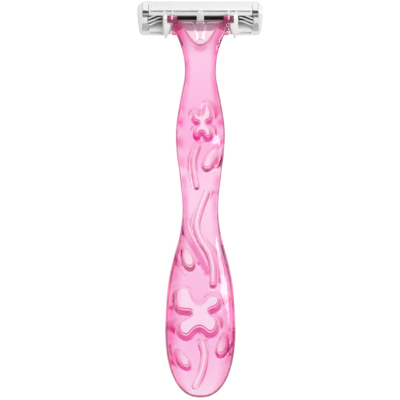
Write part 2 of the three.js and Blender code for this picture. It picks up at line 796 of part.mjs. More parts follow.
// The soft guard strip: a flat base with a row of pointed ribs.
function guardStripSolid() {
  const half = cheekInside - 1.2 - GAP;
  const low = bottom + 0.5 + GAP;
  const high = guardTop - 0.35 - GAP;
  const ribCount = 4;
  const pitch = (high - low) / ribCount;
  const points = [[low, face + 0.6 - GAP]];
  for (let i = 0; i < ribCount; i += 1) {
    const y = low + i * pitch;
    points.push([y, face + 0.1], [y + pitch * 0.35, face - 0.12], [y + pitch * 0.65, face - 0.12]);
  }
  points.push([high, face + 0.1], [high, face + 0.6 - GAP]);
  return across(points, -half, half);
}

// A clip: one bent strap, from the back over the top edge, across the blades' ends and through the
// frame to a folded end on the back.
function clipSolid(side) {
  const [x0, x1] = span(side, clipInside, clipOutside);
  const t = CLIP_THICKNESS;
  const outerTop = top - 0.2;
  const outerFace = face - t;
  const lower = windowBottom + 0.2;
  const outer = [
    [0.4, back],
    ...arc(outerTop - 0.5, back - 0.5, 0.5, 90, 0, 3),
    ...arc(outerTop - 0.5, outerFace + 0.5, 0.5, 0, -90, 3),
    [lower - t, outerFace],
    [lower - t, back],
    [-2.8, back],
  ];
  const inner = [
    [-2.8, back - t],
    [lower, back - t],
    [lower, face],
    ...arc(outerTop - 0.5, outerFace + 0.5, 0.5 - t, -90, 0, 3),
    ...arc(outerTop - 0.5, back - 0.5, 0.5 - t, 0, 90, 3),
    [0.4, back - t],
  ];
  return across([...outer, ...inner].reverse(), x0, x1);
}

const slope = [Math.cos(degrees(BLADE_ANGLE)), Math.sin(degrees(BLADE_ANGLE))];

function edgePlace(number) {
  return [-FIRST_EDGE + number * BLADE_PITCH, face + 0.1];
}

// Along a blade from its edge towards the heel, and off its face towards the back.
function onBlade([y, z], alongBlade, offBlade) {
  return [y + slope[0] * alongBlade - slope[1] * offBlade, z + slope[1] * alongBlade + slope[0] * offBlade];
}

function bladeSolid(number) {
  const edge = edgePlace(number);
  const profile = [
    edge,
    onBlade(edge, 0.25, 0),
    onBlade(edge, BLADE_REACH, 0),
    onBlade(edge, BLADE_REACH, BLADE_THICKNESS),
    onBlade(edge, 0.25, BLADE_THICKNESS),
  ];
  return across(profile, -bladeHalf, bladeHalf);
}

const legInside = BLADE_REACH * slope[0] - 0.25;

function supportSolid(number) {
  const edge = edgePlace(number);
  const near = BLADE_THICKNESS + 0.03;
  const far = near + SUPPORT_THICKNESS;
  const legY = edge[0] + legInside;
  const profile = [
    onBlade(edge, 0.55, near),
    onBlade(edge, BLADE_REACH, near),
    [legY + SUPPORT_THICKNESS, face + 1.1],
    [legY + SUPPORT_THICKNESS, supportTop],
    [legY, supportTop],
    [legY, face + 1.25],
    onBlade(edge, 0.55, far),
  ];
  return across(profile, -bladeHalf, bladeHalf);
}

// A moulded finger that springs from the cheek and bears on a blade support's back edge.
function springArmSolid(side, number) {
  const rootX = cheekInside - GAP;
  const tipX = endWindowInside + 0.3;
  const drop = back - 0.5 - (supportTop + GAP + SPRING_THICKNESS);
  const steps = 7;
  const upper = [];
  for (let i = 0; i <= steps; i += 1) {
    const share = i / steps;
    const ease = share * share * (3 - 2 * share);
    upper.push([THREE.MathUtils.lerp(rootX, tipX, share), back - 0.5 - drop * ease]);
  }
  const lower = upper.map(([x, z]) => [x, z - SPRING_THICKNESS]).reverse();
  const y = edgePlace(number)[0] + legInside + SUPPORT_THICKNESS / 2 - SPRING_WIDTH / 2;
  const shape = new THREE.Shape([...upper, ...lower].map(([x, z]) => new THREE.Vector2(side * x, z)));
  const geometry = new THREE.ExtrudeGeometry(shape, { depth: SPRING_WIDTH, bevelEnabled: false });
  geometry.rotateX(Math.PI / 2);
  geometry.translate(0, y + SPRING_WIDTH, 0);
  return solid(geometry);
}

// ---------------------------------------------------------------------------------------------------
// Assembly
// ---------------------------------------------------------------------------------------------------

const clearPink = { color: 0xfcbadc, roughness: 0.05, metalness: 0, transparent: true, opacity: 0.6 };
const whitePlastic = { color: 0xf4f4f2, roughness: 0.35, metalness: 0 };
const polishedSteel = { color: 0xd0d0cf, roughness: 0.15, metalness: 1 };
const bladeSteel = { color: 0x8a8482, roughness: 0.25, metalness: 1 };
const supportSteel = { color: 0x5c5250, roughness: 0.4, metalness: 1 };
const stripMaterial = { color: 0xf3d6e4, roughness: 0.5, metalness: 0 };
const softRubber = { color: 0xee9cc4, roughness: 0.7, metalness: 0 };

function add(parent, name, manifold, look) {
  const mesh = new THREE.Mesh(geometryOf(manifold), new THREE.MeshStandardMaterial(look));
  mesh.name = name;
  parent.add(mesh);
}

function buildCartridge() {
  const cartridge = new THREE.Group();
  add(cartridge, 'cartridge_frame', frameSolid(), whitePlastic);
  add(cartridge, 'cap', capSolid(), whitePlastic);
  add(cartridge, 'lubricating_strip', lubricatingStripSolid(), stripMaterial);
  add(cartridge, 'guard_strip', guardStripSolid(), softRubber);
  for (const [side, word] of [[-1, 'left'], [1, 'right']]) {
    add(cartridge, `clip_${word}`, clipSolid(side), polishedSteel);
    for (let i = 0; i < BLADE_COUNT; i += 1) {
      add(cartridge, `spring_arm_${word}_${i + 1}`, springArmSolid(side, i), whitePlastic);
    }
  }
  for (let i = 0; i < BLADE_COUNT; i += 1) {
    add(cartridge, `blade_${i + 1}`, bladeSolid(i), bladeSteel);
    add(cartridge, `blade_support_${i + 1}`, supportSolid(i), supportSteel);
  }
  cartridge.position.set(0, pivotY, pivotZ);
  cartridge.rotation.x = tilt;
  return cartridge;
}

const razor = new THREE.Group();
add(razor, 'handle', handleSolid(), clearPink);
add(razor, 'return_tongue', tongueSolid(), clearPink);
razor.add(buildCartridge());

// The origin is at the middle of the razor's box, on the surface it lies on.
razor.updateMatrixWorld(true);
const box = new THREE.Box3().setFromObject(razor, true);
razor.position.set(-(box.min.x + box.max.x) / 2, -(box.min.y + box.max.y) / 2, -box.min.z);
razor.updateMatrixWorld(true);

export default razor;
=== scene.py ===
import json
import math
from collections import namedtuple

import bmesh
import bpy
import numpy as np
from mathutils import Matrix, Vector


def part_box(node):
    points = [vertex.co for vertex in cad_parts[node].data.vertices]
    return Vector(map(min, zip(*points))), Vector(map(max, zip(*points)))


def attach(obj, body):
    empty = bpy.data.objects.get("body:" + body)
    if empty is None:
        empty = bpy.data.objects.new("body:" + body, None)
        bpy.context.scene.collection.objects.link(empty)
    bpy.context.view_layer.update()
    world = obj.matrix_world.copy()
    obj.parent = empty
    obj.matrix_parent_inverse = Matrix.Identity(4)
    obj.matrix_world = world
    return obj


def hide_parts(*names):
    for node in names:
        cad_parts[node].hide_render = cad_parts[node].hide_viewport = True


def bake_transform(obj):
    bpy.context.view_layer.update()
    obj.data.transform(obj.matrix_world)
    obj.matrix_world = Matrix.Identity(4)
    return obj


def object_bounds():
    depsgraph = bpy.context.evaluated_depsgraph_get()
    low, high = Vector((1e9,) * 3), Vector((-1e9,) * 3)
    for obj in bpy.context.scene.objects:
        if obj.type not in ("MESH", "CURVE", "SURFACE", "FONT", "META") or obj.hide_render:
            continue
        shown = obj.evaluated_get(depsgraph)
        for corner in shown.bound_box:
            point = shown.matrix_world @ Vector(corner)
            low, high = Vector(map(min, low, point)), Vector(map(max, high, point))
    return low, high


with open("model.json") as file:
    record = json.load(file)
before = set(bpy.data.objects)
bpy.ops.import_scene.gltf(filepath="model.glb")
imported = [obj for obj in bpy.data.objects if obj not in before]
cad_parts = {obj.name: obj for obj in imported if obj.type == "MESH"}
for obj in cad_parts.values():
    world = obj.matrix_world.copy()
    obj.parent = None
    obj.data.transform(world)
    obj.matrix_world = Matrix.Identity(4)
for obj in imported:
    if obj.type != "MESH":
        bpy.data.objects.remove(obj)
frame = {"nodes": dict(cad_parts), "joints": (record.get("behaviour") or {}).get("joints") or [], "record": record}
cad_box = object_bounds()

MM = 0.001

# ---------------------------------------------------------------------------------------------------
# Places. Lengths in this script are in millimetres until a mesh is made. The handle is drawn with its
# tail at y = 0 and the ground at z = 0, and to_row puts it in the row frame.
# ---------------------------------------------------------------------------------------------------

joints = {joint["name"]: joint for joint in frame["joints"]}
PIVOT = np.array(joints["head_pivot"]["pos_m"]) / MM
handle_low, handle_high = (np.array(corner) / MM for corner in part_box("handle"))
TAIL_Y = handle_low[1]
GROUND = handle_low[2]
REACH = PIVOT[1] - TAIL_Y
OUT = np.array(joints["blade_1_float"]["axis"])
UP = np.array([0.0, OUT[2], -OUT[1]])
PIVOT_Y = REACH
PIVOT_Z = PIVOT[2] - GROUND

HANDLE_WIDTH = 24.1
HANDLE_DEPTH = 12.6
TAIL_LENGTH = 24.0
TAIL_ROUNDNESS = 2.3
SECTION_ROUNDNESS = 2.5
WEB_THICKNESS = 1.2
WEB_DROP = 0.1
WEB_EDGE = 1.1
FLANGE_LENGTH = 3.4
SCOOP_LENGTH = 8.7
SCOOP_WIDTH = 13.3
SCOOP_END = PIVOT_Y - SCOOP_LENGTH
TONGUE_LENGTH = 6.4
TONGUE_TIP_WIDTH = 3.4
TONGUE_WAIST_WIDTH = 1.4
TONGUE_ROOT_FLARE = 0.12
SLIT_WIDTH = 0.65
PIN_RADIUS = 1.1
PIN_LENGTH = 1.8
PIN_INSET = 0.7
BRACKET_INSIDE = 10.1
KNUCKLE_OUTSIDE = BRACKET_INSIDE - 0.75
KNUCKLE_INSIDE = KNUCKLE_OUTSIDE - 1.45
KNUCKLE_LENGTH = 2.6
KNUCKLE_RIM = 0.08
WEB_TOP = PIVOT_Z - WEB_DROP
WEB_BOTTOM = WEB_TOP - WEB_THICKNESS
WEB_MIDDLE = (WEB_TOP + WEB_BOTTOM) / 2
WEB_END = PIVOT_Y - WEB_EDGE
TONGUE_ROOT = WEB_END - TONGUE_LENGTH
ROOT_CUT = TONGUE_ROOT + 0.4

# Relief: how far each pit's walls lean in from the rim to the floor (a groove's as a share of its half
# width), and the fillets at its floor and its rim.
FLOWER_DRAFT = 1.0
LEAF_DRAFT = 0.7
STEM_DRAFT = 0.6
GROOVE_DRAFT = 0.4
FLOWER_FILLETS = (0.5, 0.45)
LEAF_FILLETS = (0.45, 0.35)
STEM_FILLETS = (0.35, 0.35)
GROOVE_FILLETS = (0.5, 0.5)
EGG_SHAPE = 0.22
STEM_FLOOR = 0.2

# Radii of the handle's fillets and rounded edges.
FILLET = 0.3
EDGE = 0.25
UNDERSIDE_EDGE = 0.2
SLIT_EDGE = 0.15
PIN_FILLET = 0.12
SHARP_EDGE = 0.05

# ---------------------------------------------------------------------------------------------------
# Curves
# ---------------------------------------------------------------------------------------------------


def catmull_rom(points, samples, closed=False):
    """Points along a centripetal Catmull-Rom curve, evenly spread between its control points."""
    control = [np.array(p, float) for p in points]
    count = len(control)
    if closed:
        padded = [control[-1]] + control + [control[0], control[1]]
        pieces = count
    else:
        first = 2 * control[0] - control[1]
        last = 2 * control[-1] - control[-2]
        padded = [first] + control + [last]
        pieces = count - 1
    line = []
    for t in np.linspace(0, pieces, samples + 1):
        i = min(int(t), pieces - 1)
        w = t - i
        p0, p1, p2, p3 = padded[i:i + 4]
        sides = ((p0, p1), (p1, p2), (p2, p3))
        d0, d1, d2 = (max(np.linalg.norm(b - a) ** 0.5, 1e-6) for a, b in sides)
        t1 = ((p1 - p0) / d0 - (p2 - p0) / (d0 + d1) + (p2 - p1) / d1) * d1
        t2 = ((p2 - p1) / d1 - (p3 - p1) / (d1 + d2) + (p3 - p2) / d2) * d1
        square = -3 * p1 + 3 * p2 - 2 * t1 - t2
        cube = 2 * p1 - 2 * p2 + t1 + t2
        line.append(p1 + t1 * w + square * w * w + cube * w ** 3)
    return np.array(line)


def smooth(points, count, closed=False):
    """A smooth line through the points, resampled to even steps."""
    line = catmull_rom(points, 40 * len(points), closed)
    steps = np.linalg.norm(np.diff(line, axis=0), axis=1)
    along = np.concatenate([[0], np.cumsum(steps)])
    places = np.linspace(0, along[-1], count + 1)
    sampled = np.stack([np.interp(places, along, line[:, k]) for k in range(2)], axis=1)
    return sampled[:-1] if closed else sampled


def arc(cx, cy, radius, start, end, steps):
    """Points along an arc between two angles in degrees."""
    angles = np.radians(np.linspace(start, end, steps + 1))
    return [[cx + radius * math.cos(a), cy + radius * math.sin(a)] for a in angles]


def mirrored(points):
    """The same line on the other side of the middle, run backwards."""
    return [[-x, y] for x, y in points][::-1]


def ramp(value, start, end):
    """0 before start, 1 past end, and a smooth step between."""
    share = np.clip((value - start) / (end - start), 0, 1)
    return share * share * (3 - 2 * share)


# ---------------------------------------------------------------------------------------------------
# Distance fields: negative inside the material
# ---------------------------------------------------------------------------------------------------


def polygon_field(outline, x, y, margin=3.0):
    """Signed distance to a closed outline. Far points get a rough distance."""
    outline = np.asarray(outline, float)
    low, high = outline.min(axis=0), outline.max(axis=0)
    gap = np.maximum(np.maximum(low[0] - x, x - high[0]), np.maximum(low[1] - y, y - high[1]))
    result = np.maximum(gap, 0.0) + margin
    near = gap < margin
    px, py = x[near], y[near]
    best = np.full(px.shape, 1e9)
    inside = np.zeros(px.shape, bool)
    following = np.roll(outline, -1, axis=0)
    for (ax, ay), (bx, by) in zip(outline, following):
        ex, ey = bx - ax, by - ay
        wx, wy = px - ax, py - ay
        t = np.clip((wx * ex + wy * ey) / (ex * ex + ey * ey + 1e-12), 0, 1)
        best = np.minimum(best, (wx - ex * t) ** 2 + (wy - ey * t) ** 2)
        if ay != by:
            crossing = ((ay > py) != (by > py)) & (px < ax + (py - ay) * ex / ey)
            inside ^= crossing
    result[near] = np.where(inside, -1, 1) * np.sqrt(best)
    return result


def join(a, b, radius):
    """Union, with a fillet of that radius where they meet."""
    corner = np.hypot(np.maximum(radius - a, 0), np.maximum(radius - b, 0))
    return np.maximum(radius, np.minimum(a, b)) - corner


def common(a, b, radius):
    """Intersection, with its outer edge rounded to that radius."""
    return -join(-a, -b, radius)


def cut(a, b, radius):
    """a without b, with the rim rounded to that radius."""
    return -join(-a, b, radius)


def slab(value, low, high):
    """All that lies between two parallel planes."""
    return np.maximum(low - value, value - high)


# ---------------------------------------------------------------------------------------------------
# Handle: sections, relief and yoke
# ---------------------------------------------------------------------------------------------------

# Place along the handle, half width, lowest and highest point, as shares of the reach, the bulb's half
# width and the bulb's depth.
BODY_SECTIONS = [
    (0.183, 1.0, 0.0, 1.0),
    (0.255, 0.96, 0.012, 1.0),
    (0.31, 0.9, 0.06, 0.99),
    (0.37, 0.76, 0.17, 1.0),
    (0.431, 0.59, 0.31, 1.04),
    (0.505, 0.505, 0.46, 1.12),
    (0.595, 0.59, 0.53, 1.24),
    (0.664, 0.68, 0.53, 1.3),
    (0.722, 0.685, 0.53, 1.29),
    (0.786, 0.58, 0.55, 1.21),
    (0.847, 0.452, 0.575, 1.1),
    (0.874, 0.437, 0.583, 1.05),
]
# Distance from the pivot back towards the tail, half width, lowest and highest point from the pivot.
YOKE_SECTIONS = [
    (11.6, KNUCKLE_INSIDE - 2.0, -1.6, 3.3),
    (8.1, KNUCKLE_INSIDE - 0.95, -1.6, 2.7),
    (5.1, KNUCKLE_INSIDE + 0.25, -1.5, 2.1),
    (2.4, KNUCKLE_INSIDE + 1.05, -1.3, 1.5),
    (0.5, KNUCKLE_OUTSIDE - 0.1, -PIN_RADIUS * 0.8, PIN_RADIUS * 0.8),
]
LOFT_END = PIVOT_Y - YOKE_SECTIONS[-1][0]


def section_tables():
    """The half width, the lowest and the highest point as smooth curves along y."""
    scale = (REACH, HANDLE_WIDTH / 2, HANDLE_DEPTH, HANDLE_DEPTH)
    rows = [[share * size for share, size in zip(row, scale)] for row in BODY_SECTIONS]
    rows += [(PIVOT_Y - back, half, PIVOT_Z + low, PIVOT_Z + high) for back, half, low, high in YOKE_SECTIONS]
    return [catmull_rom([(row[0], row[column]) for row in rows], 1600) for column in (1, 2, 3)]


WIDTHS, LOWS, HIGHS = section_tables()


def sections(y):
    """Half width, middle height and half depth of the section at y, before the tail rounds off."""
    at = np.maximum(y, WIDTHS[0][0])
    width = np.interp(at, WIDTHS[:, 0], WIDTHS[:, 1])
    low = np.interp(at, LOWS[:, 0], LOWS[:, 1])
    high = np.interp(at, HIGHS[:, 0], HIGHS[:, 1])
    return width, (low + high) / 2, (high - low) / 2


def tail_shrink(y):
    """How much of its section the handle has at y: less than 1 where the tail rounds off."""
    share = np.clip(1 - y / TAIL_LENGTH, 0, 1)
    return np.maximum(1 - share ** TAIL_ROUNDNESS, 0) ** (1 / TAIL_ROUNDNESS)


def surface_height(x, y):
    """Height of the handle's upper face, as if it had no relief."""
    width, middle, depth = sections(y)
    shrink = np.maximum(tail_shrink(y), 0.05)
    across = np.clip(np.abs(x) / (width * shrink), 0, 1)
    return middle + depth * shrink * (1 - across ** SECTION_ROUNDNESS) ** (1 / SECTION_ROUNDNESS)


def loft_field(x, y, z):
    """Rough distance to the plain handle: a superellipse section along a tail of the same kind."""
    width, middle, depth = sections(y)
    p, q = SECTION_ROUNDNESS, TAIL_ROUNDNESS
    across = np.abs(x) / width
    upward = np.abs(z - middle) / depth
    ring = np.maximum((across ** p + upward ** p) ** (1 / p), 0.05)
    along = np.clip(1 - y / TAIL_LENGTH, 0, None)
    whole = np.maximum((ring ** q + along ** q) ** (1 / q), 0.05)
    slope_ring = (ring / whole) ** (q - 1)
    slope_x = slope_ring * (across / ring) ** (p - 1) / width
    slope_z = slope_ring * (upward / ring) ** (p - 1) / depth
    slope_y = (along / whole) ** (q - 1) / TAIL_LENGTH
    size = np.sqrt(slope_x ** 2 + slope_y ** 2 + slope_z ** 2)
    return (whole - 1) / np.maximum(size, 0.02)


def flower_rim(centre, outline, steps=260):
    return smooth([[centre[0] + x, centre[1] + y] for x, y in outline], steps, closed=True)


def leaf_rim(tip, end, radius, steps=80):
    """An egg from the tip to past the end, widest near the end."""
    axis = np.array([end[0] - tip[0], end[1] - tip[1]])
    length = math.hypot(*axis)
    axis /= length
    side = np.array([-axis[1], axis[0]])
    half = (length + radius) / 2
    turn = np.linspace(0, 2 * math.pi, steps, endpoint=False)[:, None]
    along = -np.cos(turn)
    width = radius * np.sin(turn) * (1 + EGG_SHAPE * along)
    return np.asarray(tip) + axis * half * (1 + along) + side * width


def stem_rim(path, radius, steps=70):
    """A band of one width along a smooth path, with round ends."""
    line = smooth(path, steps)
    along = np.gradient(line, axis=0)
    along /= np.linalg.norm(along, axis=1)[:, None]
    side = np.stack([along[:, 1], -along[:, 0]], axis=1)
    right = line + side * radius
    left = (line - side * radius)[::-1]
    end_angle = math.degrees(math.atan2(side[-1][1], side[-1][0]))
    start_angle = math.degrees(math.atan2(-side[0][1], -side[0][0]))
    end_cap = arc(line[-1][0], line[-1][1], radius, end_angle, end_angle + 180, 14)[1:-1]
    start_cap = arc(line[0][0], line[0][1], radius, start_angle, start_angle + 180, 14)[1:-1]
    return np.concatenate([right, end_cap, left, start_cap])


# Flowers: the outline around the centre, counter-clockwise, then the centre. Here and below, a place on
# the handle is its x and its share of the reach.
LOWER_FLOWER = [
    (-0.6, 4.2), (-1.7, 4.8), (-2.3, 6.4), (-3.0, 8.1), (-4.1, 9.5), (-5.8, 10.0), (-7.5, 9.7), (-9.0, 8.6),
    (-9.6, 6.6), (-9.5, 4.8), (-9.3, 3.2), (-8.7, 1.8), (-7.5, 0.8), (-5.6, 0.4), (-3.8, 0.2),
    (-5.2, -0.8), (-7.1, -1.9), (-8.2, -3.3), (-8.5, -5.1), (-7.8, -6.8), (-6.6, -8.0), (-5.0, -8.4),
    (-3.7, -7.9), (-2.6, -6.7), (-1.5, -5.7), (-0.2, -5.5), (1.1, -6.4), (2.4, -7.3), (3.9, -7.2),
    (5.2, -6.4), (6.0, -4.8), (6.2, -3.1), (5.7, -1.3), (4.7, -0.2), (3.3, 0.7),
    (5.0, 1.5), (6.3, 2.4), (7.0, 4.0), (6.9, 5.5), (5.9, 6.7), (4.2, 7.3), (2.4, 7.0), (1.1, 5.9),
    (0.5, 4.7),
]
UPPER_FLOWER = [
    (1.2, 6.8), (0.2, 6.2), (-0.3, 4.9), (-0.55, 3.4), (-0.9, 2.5), (-1.3, 3.3), (-2.3, 4.0), (-3.6, 3.4),
    (-4.1, 1.8), (-3.7, 0.2), (-2.8, -0.8), (-1.9, -1.0), (-2.9, -1.7), (-3.5, -3.4), (-3.1, -5.4),
    (-2.0, -6.4), (-0.9, -5.6), (-0.4, -4.5), (0.2, -5.6), (1.5, -6.6), (3.0, -6.0), (3.6, -4.3),
    (3.2, -2.2), (1.9, -0.7), (3.0, -0.3), (3.6, 1.3), (3.5, 3.3), (2.9, 5.2), (2.1, 6.4),
]
FLOWERS = [((0.25, 0.2206), LOWER_FLOWER), ((0.8, 0.7366), UPPER_FLOWER)]

# Leaves: the tip, the middle of the round end, and the radius there.
LEAVES = [
    ((5.9, 0.678), (2.4, 0.624), 2.3),
    ((-5.8, 0.41), (-3.7, 0.358), 2.3),
    ((8.8, 0.18), (7.0, 0.126), 2.2),
    ((-9.0, 0.139), (-4.9, 0.091), 2.1),
]

# Stems: the path and half its width.
STEMS = [
    ([(-0.8, 0.675), (-2.3, 0.634), (-1.3, 0.568)], 1.15),
    (
        [(2.0, 0.551), (-0.5, 0.495), (-1.3, 0.458), (0.1, 0.423), (2.9, 0.387), (4.2, 0.35), (4.3, 0.306)],
        1.35,
    ),
    ([(0.5, 0.1475), (1.4, 0.118), (0.4, 0.07), (-1.7, 0.034)], 1.45),
]

# Shallow grooves: path, half its width and depth. The first sweeps along the middle stem, and the others
# run from a leaf to the handle's edge.
GROOVES = [
    ([(-5.8, 0.478), (-4.7, 0.446), (-3.0, 0.416), (-0.3, 0.378), (2.2, 0.338)], 1.4, 0.7),
    ([(8.8, 0.664), (6.6, 0.652), (5.2, 0.628)], 1.7, 1.3),
    ([(-8.2, 0.41), (-7.4, 0.365), (-5.2, 0.338)], 1.0, 0.9),
    ([(10.6, 0.186), (10.5, 0.157), (8.8, 0.13)], 0.85, 0.8),
    ([(-9.6, 0.143), (-9.0, 0.118), (-7.0, 0.097), (-4.4, 0.086)], 0.85, 0.8),
]


Pit = namedtuple("Pit", "rim draft floor bottom_fillet rim_fillet")


def on_handle(place):
    """A place given as its x and its share of the reach, as a point in millimetres."""
    return np.array([place[0], place[1] * REACH])


def flat_floor(height):
    """A floor at one height, with the shape of whatever places it is asked for."""
    return lambda x, y: height + 0 * x


def leaf_floor(tip, end):
    """Falls evenly from the surface at the leaf's tip to the handle's middle at its end."""
    crest = surface_height(tip[:1], tip[1:])[0]
    bottom = sections(end[1:])[1][0]
    length = np.linalg.norm(tip - end)

    def floor(x, y):
        share = np.clip(np.hypot(x - tip[0], y - tip[1]) / length, 0, 1)
        return crest + (bottom - crest) * share

    return floor


def stem_floor(x, y):
    _, middle, depth = sections(y)
    return middle + STEM_FLOOR * depth


def groove_floor(depth):
    return lambda x, y: surface_height(x, y) - depth


def relief():
    """Every pit in the handle's upper face."""
    pits = []
    for place, outline in FLOWERS:
        centre = on_handle(place)
        middle = sections(centre[1:])[1][0]
        pits.append(Pit(flower_rim(centre, outline), FLOWER_DRAFT, flat_floor(middle), *FLOWER_FILLETS))
    for tip_place, end_place, radius in LEAVES:
        tip, end = on_handle(tip_place), on_handle(end_place)
        pits.append(Pit(leaf_rim(tip, end, radius), LEAF_DRAFT, leaf_floor(tip, end), *LEAF_FILLETS))
    for path, radius in STEMS:
        rim = stem_rim([on_handle(place) for place in path], radius)
        pits.append(Pit(rim, STEM_DRAFT, stem_floor, *STEM_FILLETS))
    for path, radius, depth in GROOVES:
        rim = stem_rim([on_handle(place) for place in path], radius)
        pits.append(Pit(rim, GROOVE_DRAFT * radius, groove_floor(depth), *GROOVE_FILLETS))
    return pits


# Which of the pits is the sweep along the middle stem.
FIRST_GROOVE = len(FLOWERS) + len(LEAVES) + len(STEMS)


def scoop_outline():
    """The parabola between the yoke's arms, open past the pivot."""
    half, beyond = SCOOP_WIDTH / 2, PIVOT_Y + 5
    shares = np.linspace(0, 1, 40)[1:]
    right = [[half * share, SCOOP_END + SCOOP_LENGTH * share ** 2] for share in shares]
    return [[0, SCOOP_END]] + right + [[half, beyond], [-half, beyond]] + mirrored(right)


def web_outline():
    """The thin web between the arms, with a flange outside each of them."""
    flange_x = BRACKET_INSIDE - 0.25
    flange_top = PIVOT_Y - PIN_RADIUS - 1.0
    flange_bottom = flange_top - FLANGE_LENGTH
    corner = 0.5
    right = [
        [KNUCKLE_INSIDE - 2.6, SCOOP_END],
        [KNUCKLE_INSIDE - 0.8, flange_bottom],
        [flange_x - corner, flange_bottom],
        [flange_x, flange_bottom + corner],
        [flange_x, flange_top],
        [KNUCKLE_OUTSIDE - 0.2, flange_top],
        [KNUCKLE_INSIDE - 0.1, WEB_END],
    ]
    return right + mirrored(right)


def tongue_outline(spread, root_extra=0.0):
    """The tongue in plan, wider by the spread on each side and longer at the root by root_extra."""
    tip_half = TONGUE_TIP_WIDTH / 2 + spread
    waist_half = TONGUE_WAIST_WIDTH / 2 + spread
    root_half = waist_half + TONGUE_ROOT_FLARE
    waist = TONGUE_ROOT + TONGUE_LENGTH * 0.2
    middle_half = waist_half + (tip_half - waist_half) * 0.35
    path = [
        [root_half, TONGUE_ROOT],
        [waist_half, waist],
        [middle_half, (waist + WEB_END) / 2],
        [tip_half, WEB_END],
    ]
    side = smooth(path, 40).tolist()
    if root_extra:
        side = [[root_half, TONGUE_ROOT - root_extra]] + side
    side.append([tip_half, WEB_END + 1.5])
    return side + mirrored(side)


PITS = relief()
SCOOP = scoop_outline()
WEB = web_outline()
TONGUE = tongue_outline(0.0, root_extra=3.0)
SLOT = tongue_outline(SLIT_WIDTH)


def handle_plan(x, y):
    """What the handle's field needs to know of each place in plan."""
    return {
        "surface": surface_height(x, y),
        "scoop": polygon_field(SCOOP, x, y),
        "web": polygon_field(WEB, x, y),
        "tongue": polygon_field(TONGUE, x, y),
        "slot": polygon_field(SLOT, x, y),
        "pits": [polygon_field(pit.rim, x, y) for pit in PITS],
        "floors": [pit.floor(x, y) for pit in PITS],
    }


def with_relief(body, z, plan):
    """The body with every pit cut into it. The walls lean in by the draft from the rim to the floor."""
    for pit, distance, floor in zip(PITS, plan["pits"], plan["floors"]):
        depth = np.maximum(plan["surface"] - floor, 1.0)
        wall = distance + pit.draft * np.clip((plan["surface"] - z) / depth, -0.5, 1.2)
        body = cut(body, common(wall, floor - z, pit.bottom_fillet), pit.rim_fillet)
    return body


def with_web(body, y, z, plan):
    """The body scooped out from both faces between the arms, with the web left there and its slits cut."""
    body = cut(body, common(plan["scoop"], WEB_TOP - z, FILLET), FILLET)
    body = cut(body, common(plan["scoop"], z - WEB_BOTTOM, UNDERSIDE_EDGE), UNDERSIDE_EDGE)
    body = cut(body, common(plan["scoop"], WEB_END - y, SHARP_EDGE), UNDERSIDE_EDGE)
    web = common(plan["web"], slab(z, WEB_BOTTOM, WEB_TOP), EDGE)
    body = join(body, common(web, y - WEB_END, EDGE), FILLET)
    slits = common(plan["slot"], -plan["tongue"], SHARP_EDGE)
    return cut(body, np.maximum(slits, np.abs(z - WEB_TOP) - 3), SLIT_EDGE)


def with_pins(body, x, y, z):
    """The body with a knuckle at the end of each arm, and a pivot pin outside each knuckle."""
    side = np.abs(x)
    back, up = y - PIVOT_Y, z - PIVOT_Z
    from_axis = np.hypot(back, up)
    arm = np.maximum(np.abs(up) - PIN_RADIUS * 0.6, slab(back, -KNUCKLE_LENGTH, 0))
    shape = np.minimum(from_axis - PIN_RADIUS - KNUCKLE_RIM, arm)
    knuckle = common(shape, slab(side, KNUCKLE_INSIDE, KNUCKLE_OUTSIDE), EDGE)
    body = join(body, knuckle, FILLET)
    ends = slab(side, KNUCKLE_OUTSIDE - PIN_INSET, KNUCKLE_OUTSIDE + PIN_LENGTH)
    return join(body, common(from_axis - PIN_RADIUS, ends, FILLET), PIN_FILLET)


def handle_field(x, y, z, plan):
    """Rough distance to the whole clear moulding, the tongue still in one piece with it."""
    body = common(loft_field(x, y, z), y - LOFT_END, EDGE)
    body = with_relief(body, z, plan)
    body = with_web(body, y, z, plan)
    return with_pins(body, x, y, z)


# ---------------------------------------------------------------------------------------------------
# Meshes from fields
# ---------------------------------------------------------------------------------------------------


def surface_net(values, origin, cell):
    """Vertices and quads of the zero surface of a grid of values."""
    shape = np.array(values.shape) - 1
    total = np.zeros(tuple(shape) + (3,), np.float32)
    number = np.zeros(tuple(shape), np.int32)
    inside = values < 0
    edges = []
    for axis in range(3):
        lower = [slice(None)] * 3
        upper = [slice(None)] * 3
        lower[axis], upper[axis] = slice(None, -1), slice(1, None)
        a, b = values[tuple(lower)], values[tuple(upper)]
        place = np.argwhere(inside[tuple(lower)] != inside[tuple(upper)])
        va, vb = a[tuple(place.T)], b[tuple(place.T)]
        point = place.astype(np.float64)
        point[:, axis] += va / (va - vb)
        others = [k for k in range(3) if k != axis]
        ids = []
        for s in (0, 1):
            for t in (0, 1):
                cell_at = place.copy()
                cell_at[:, others[0]] -= s
                cell_at[:, others[1]] -= t
                np.add.at(total, tuple(cell_at.T), point)
                np.add.at(number, tuple(cell_at.T), 1)
                ids.append(cell_at)
        edges.append((ids, inside[tuple(lower)][tuple(place.T)], axis))
    used = number > 0
    index = np.full(number.shape, -1, np.int64)
    index[used] = np.arange(used.sum())
    vertices = total[used] / number[used][:, None] * cell + origin
    quads = []
    for ids, starts_inside, axis in edges:
        corner = [index[tuple(i.T)] for i in (ids[0], ids[1], ids[3], ids[2])]
        quad = np.stack(corner, axis=1)
        flip = ~starts_inside if axis == 1 else starts_inside
        quad[flip] = quad[flip][:, ::-1]
        quads.append(quad)
    return vertices, np.concatenate(quads)


def gradient(evaluate, points, step=0.02):
    """How fast the field grows at each point along x, y and z."""
    columns = []
    for axis in range(3):
        move = np.zeros(3)
        move[axis] = step
        columns.append((evaluate(points + move) - evaluate(points - move)) / (2 * step))
    return np.stack(columns, axis=1)


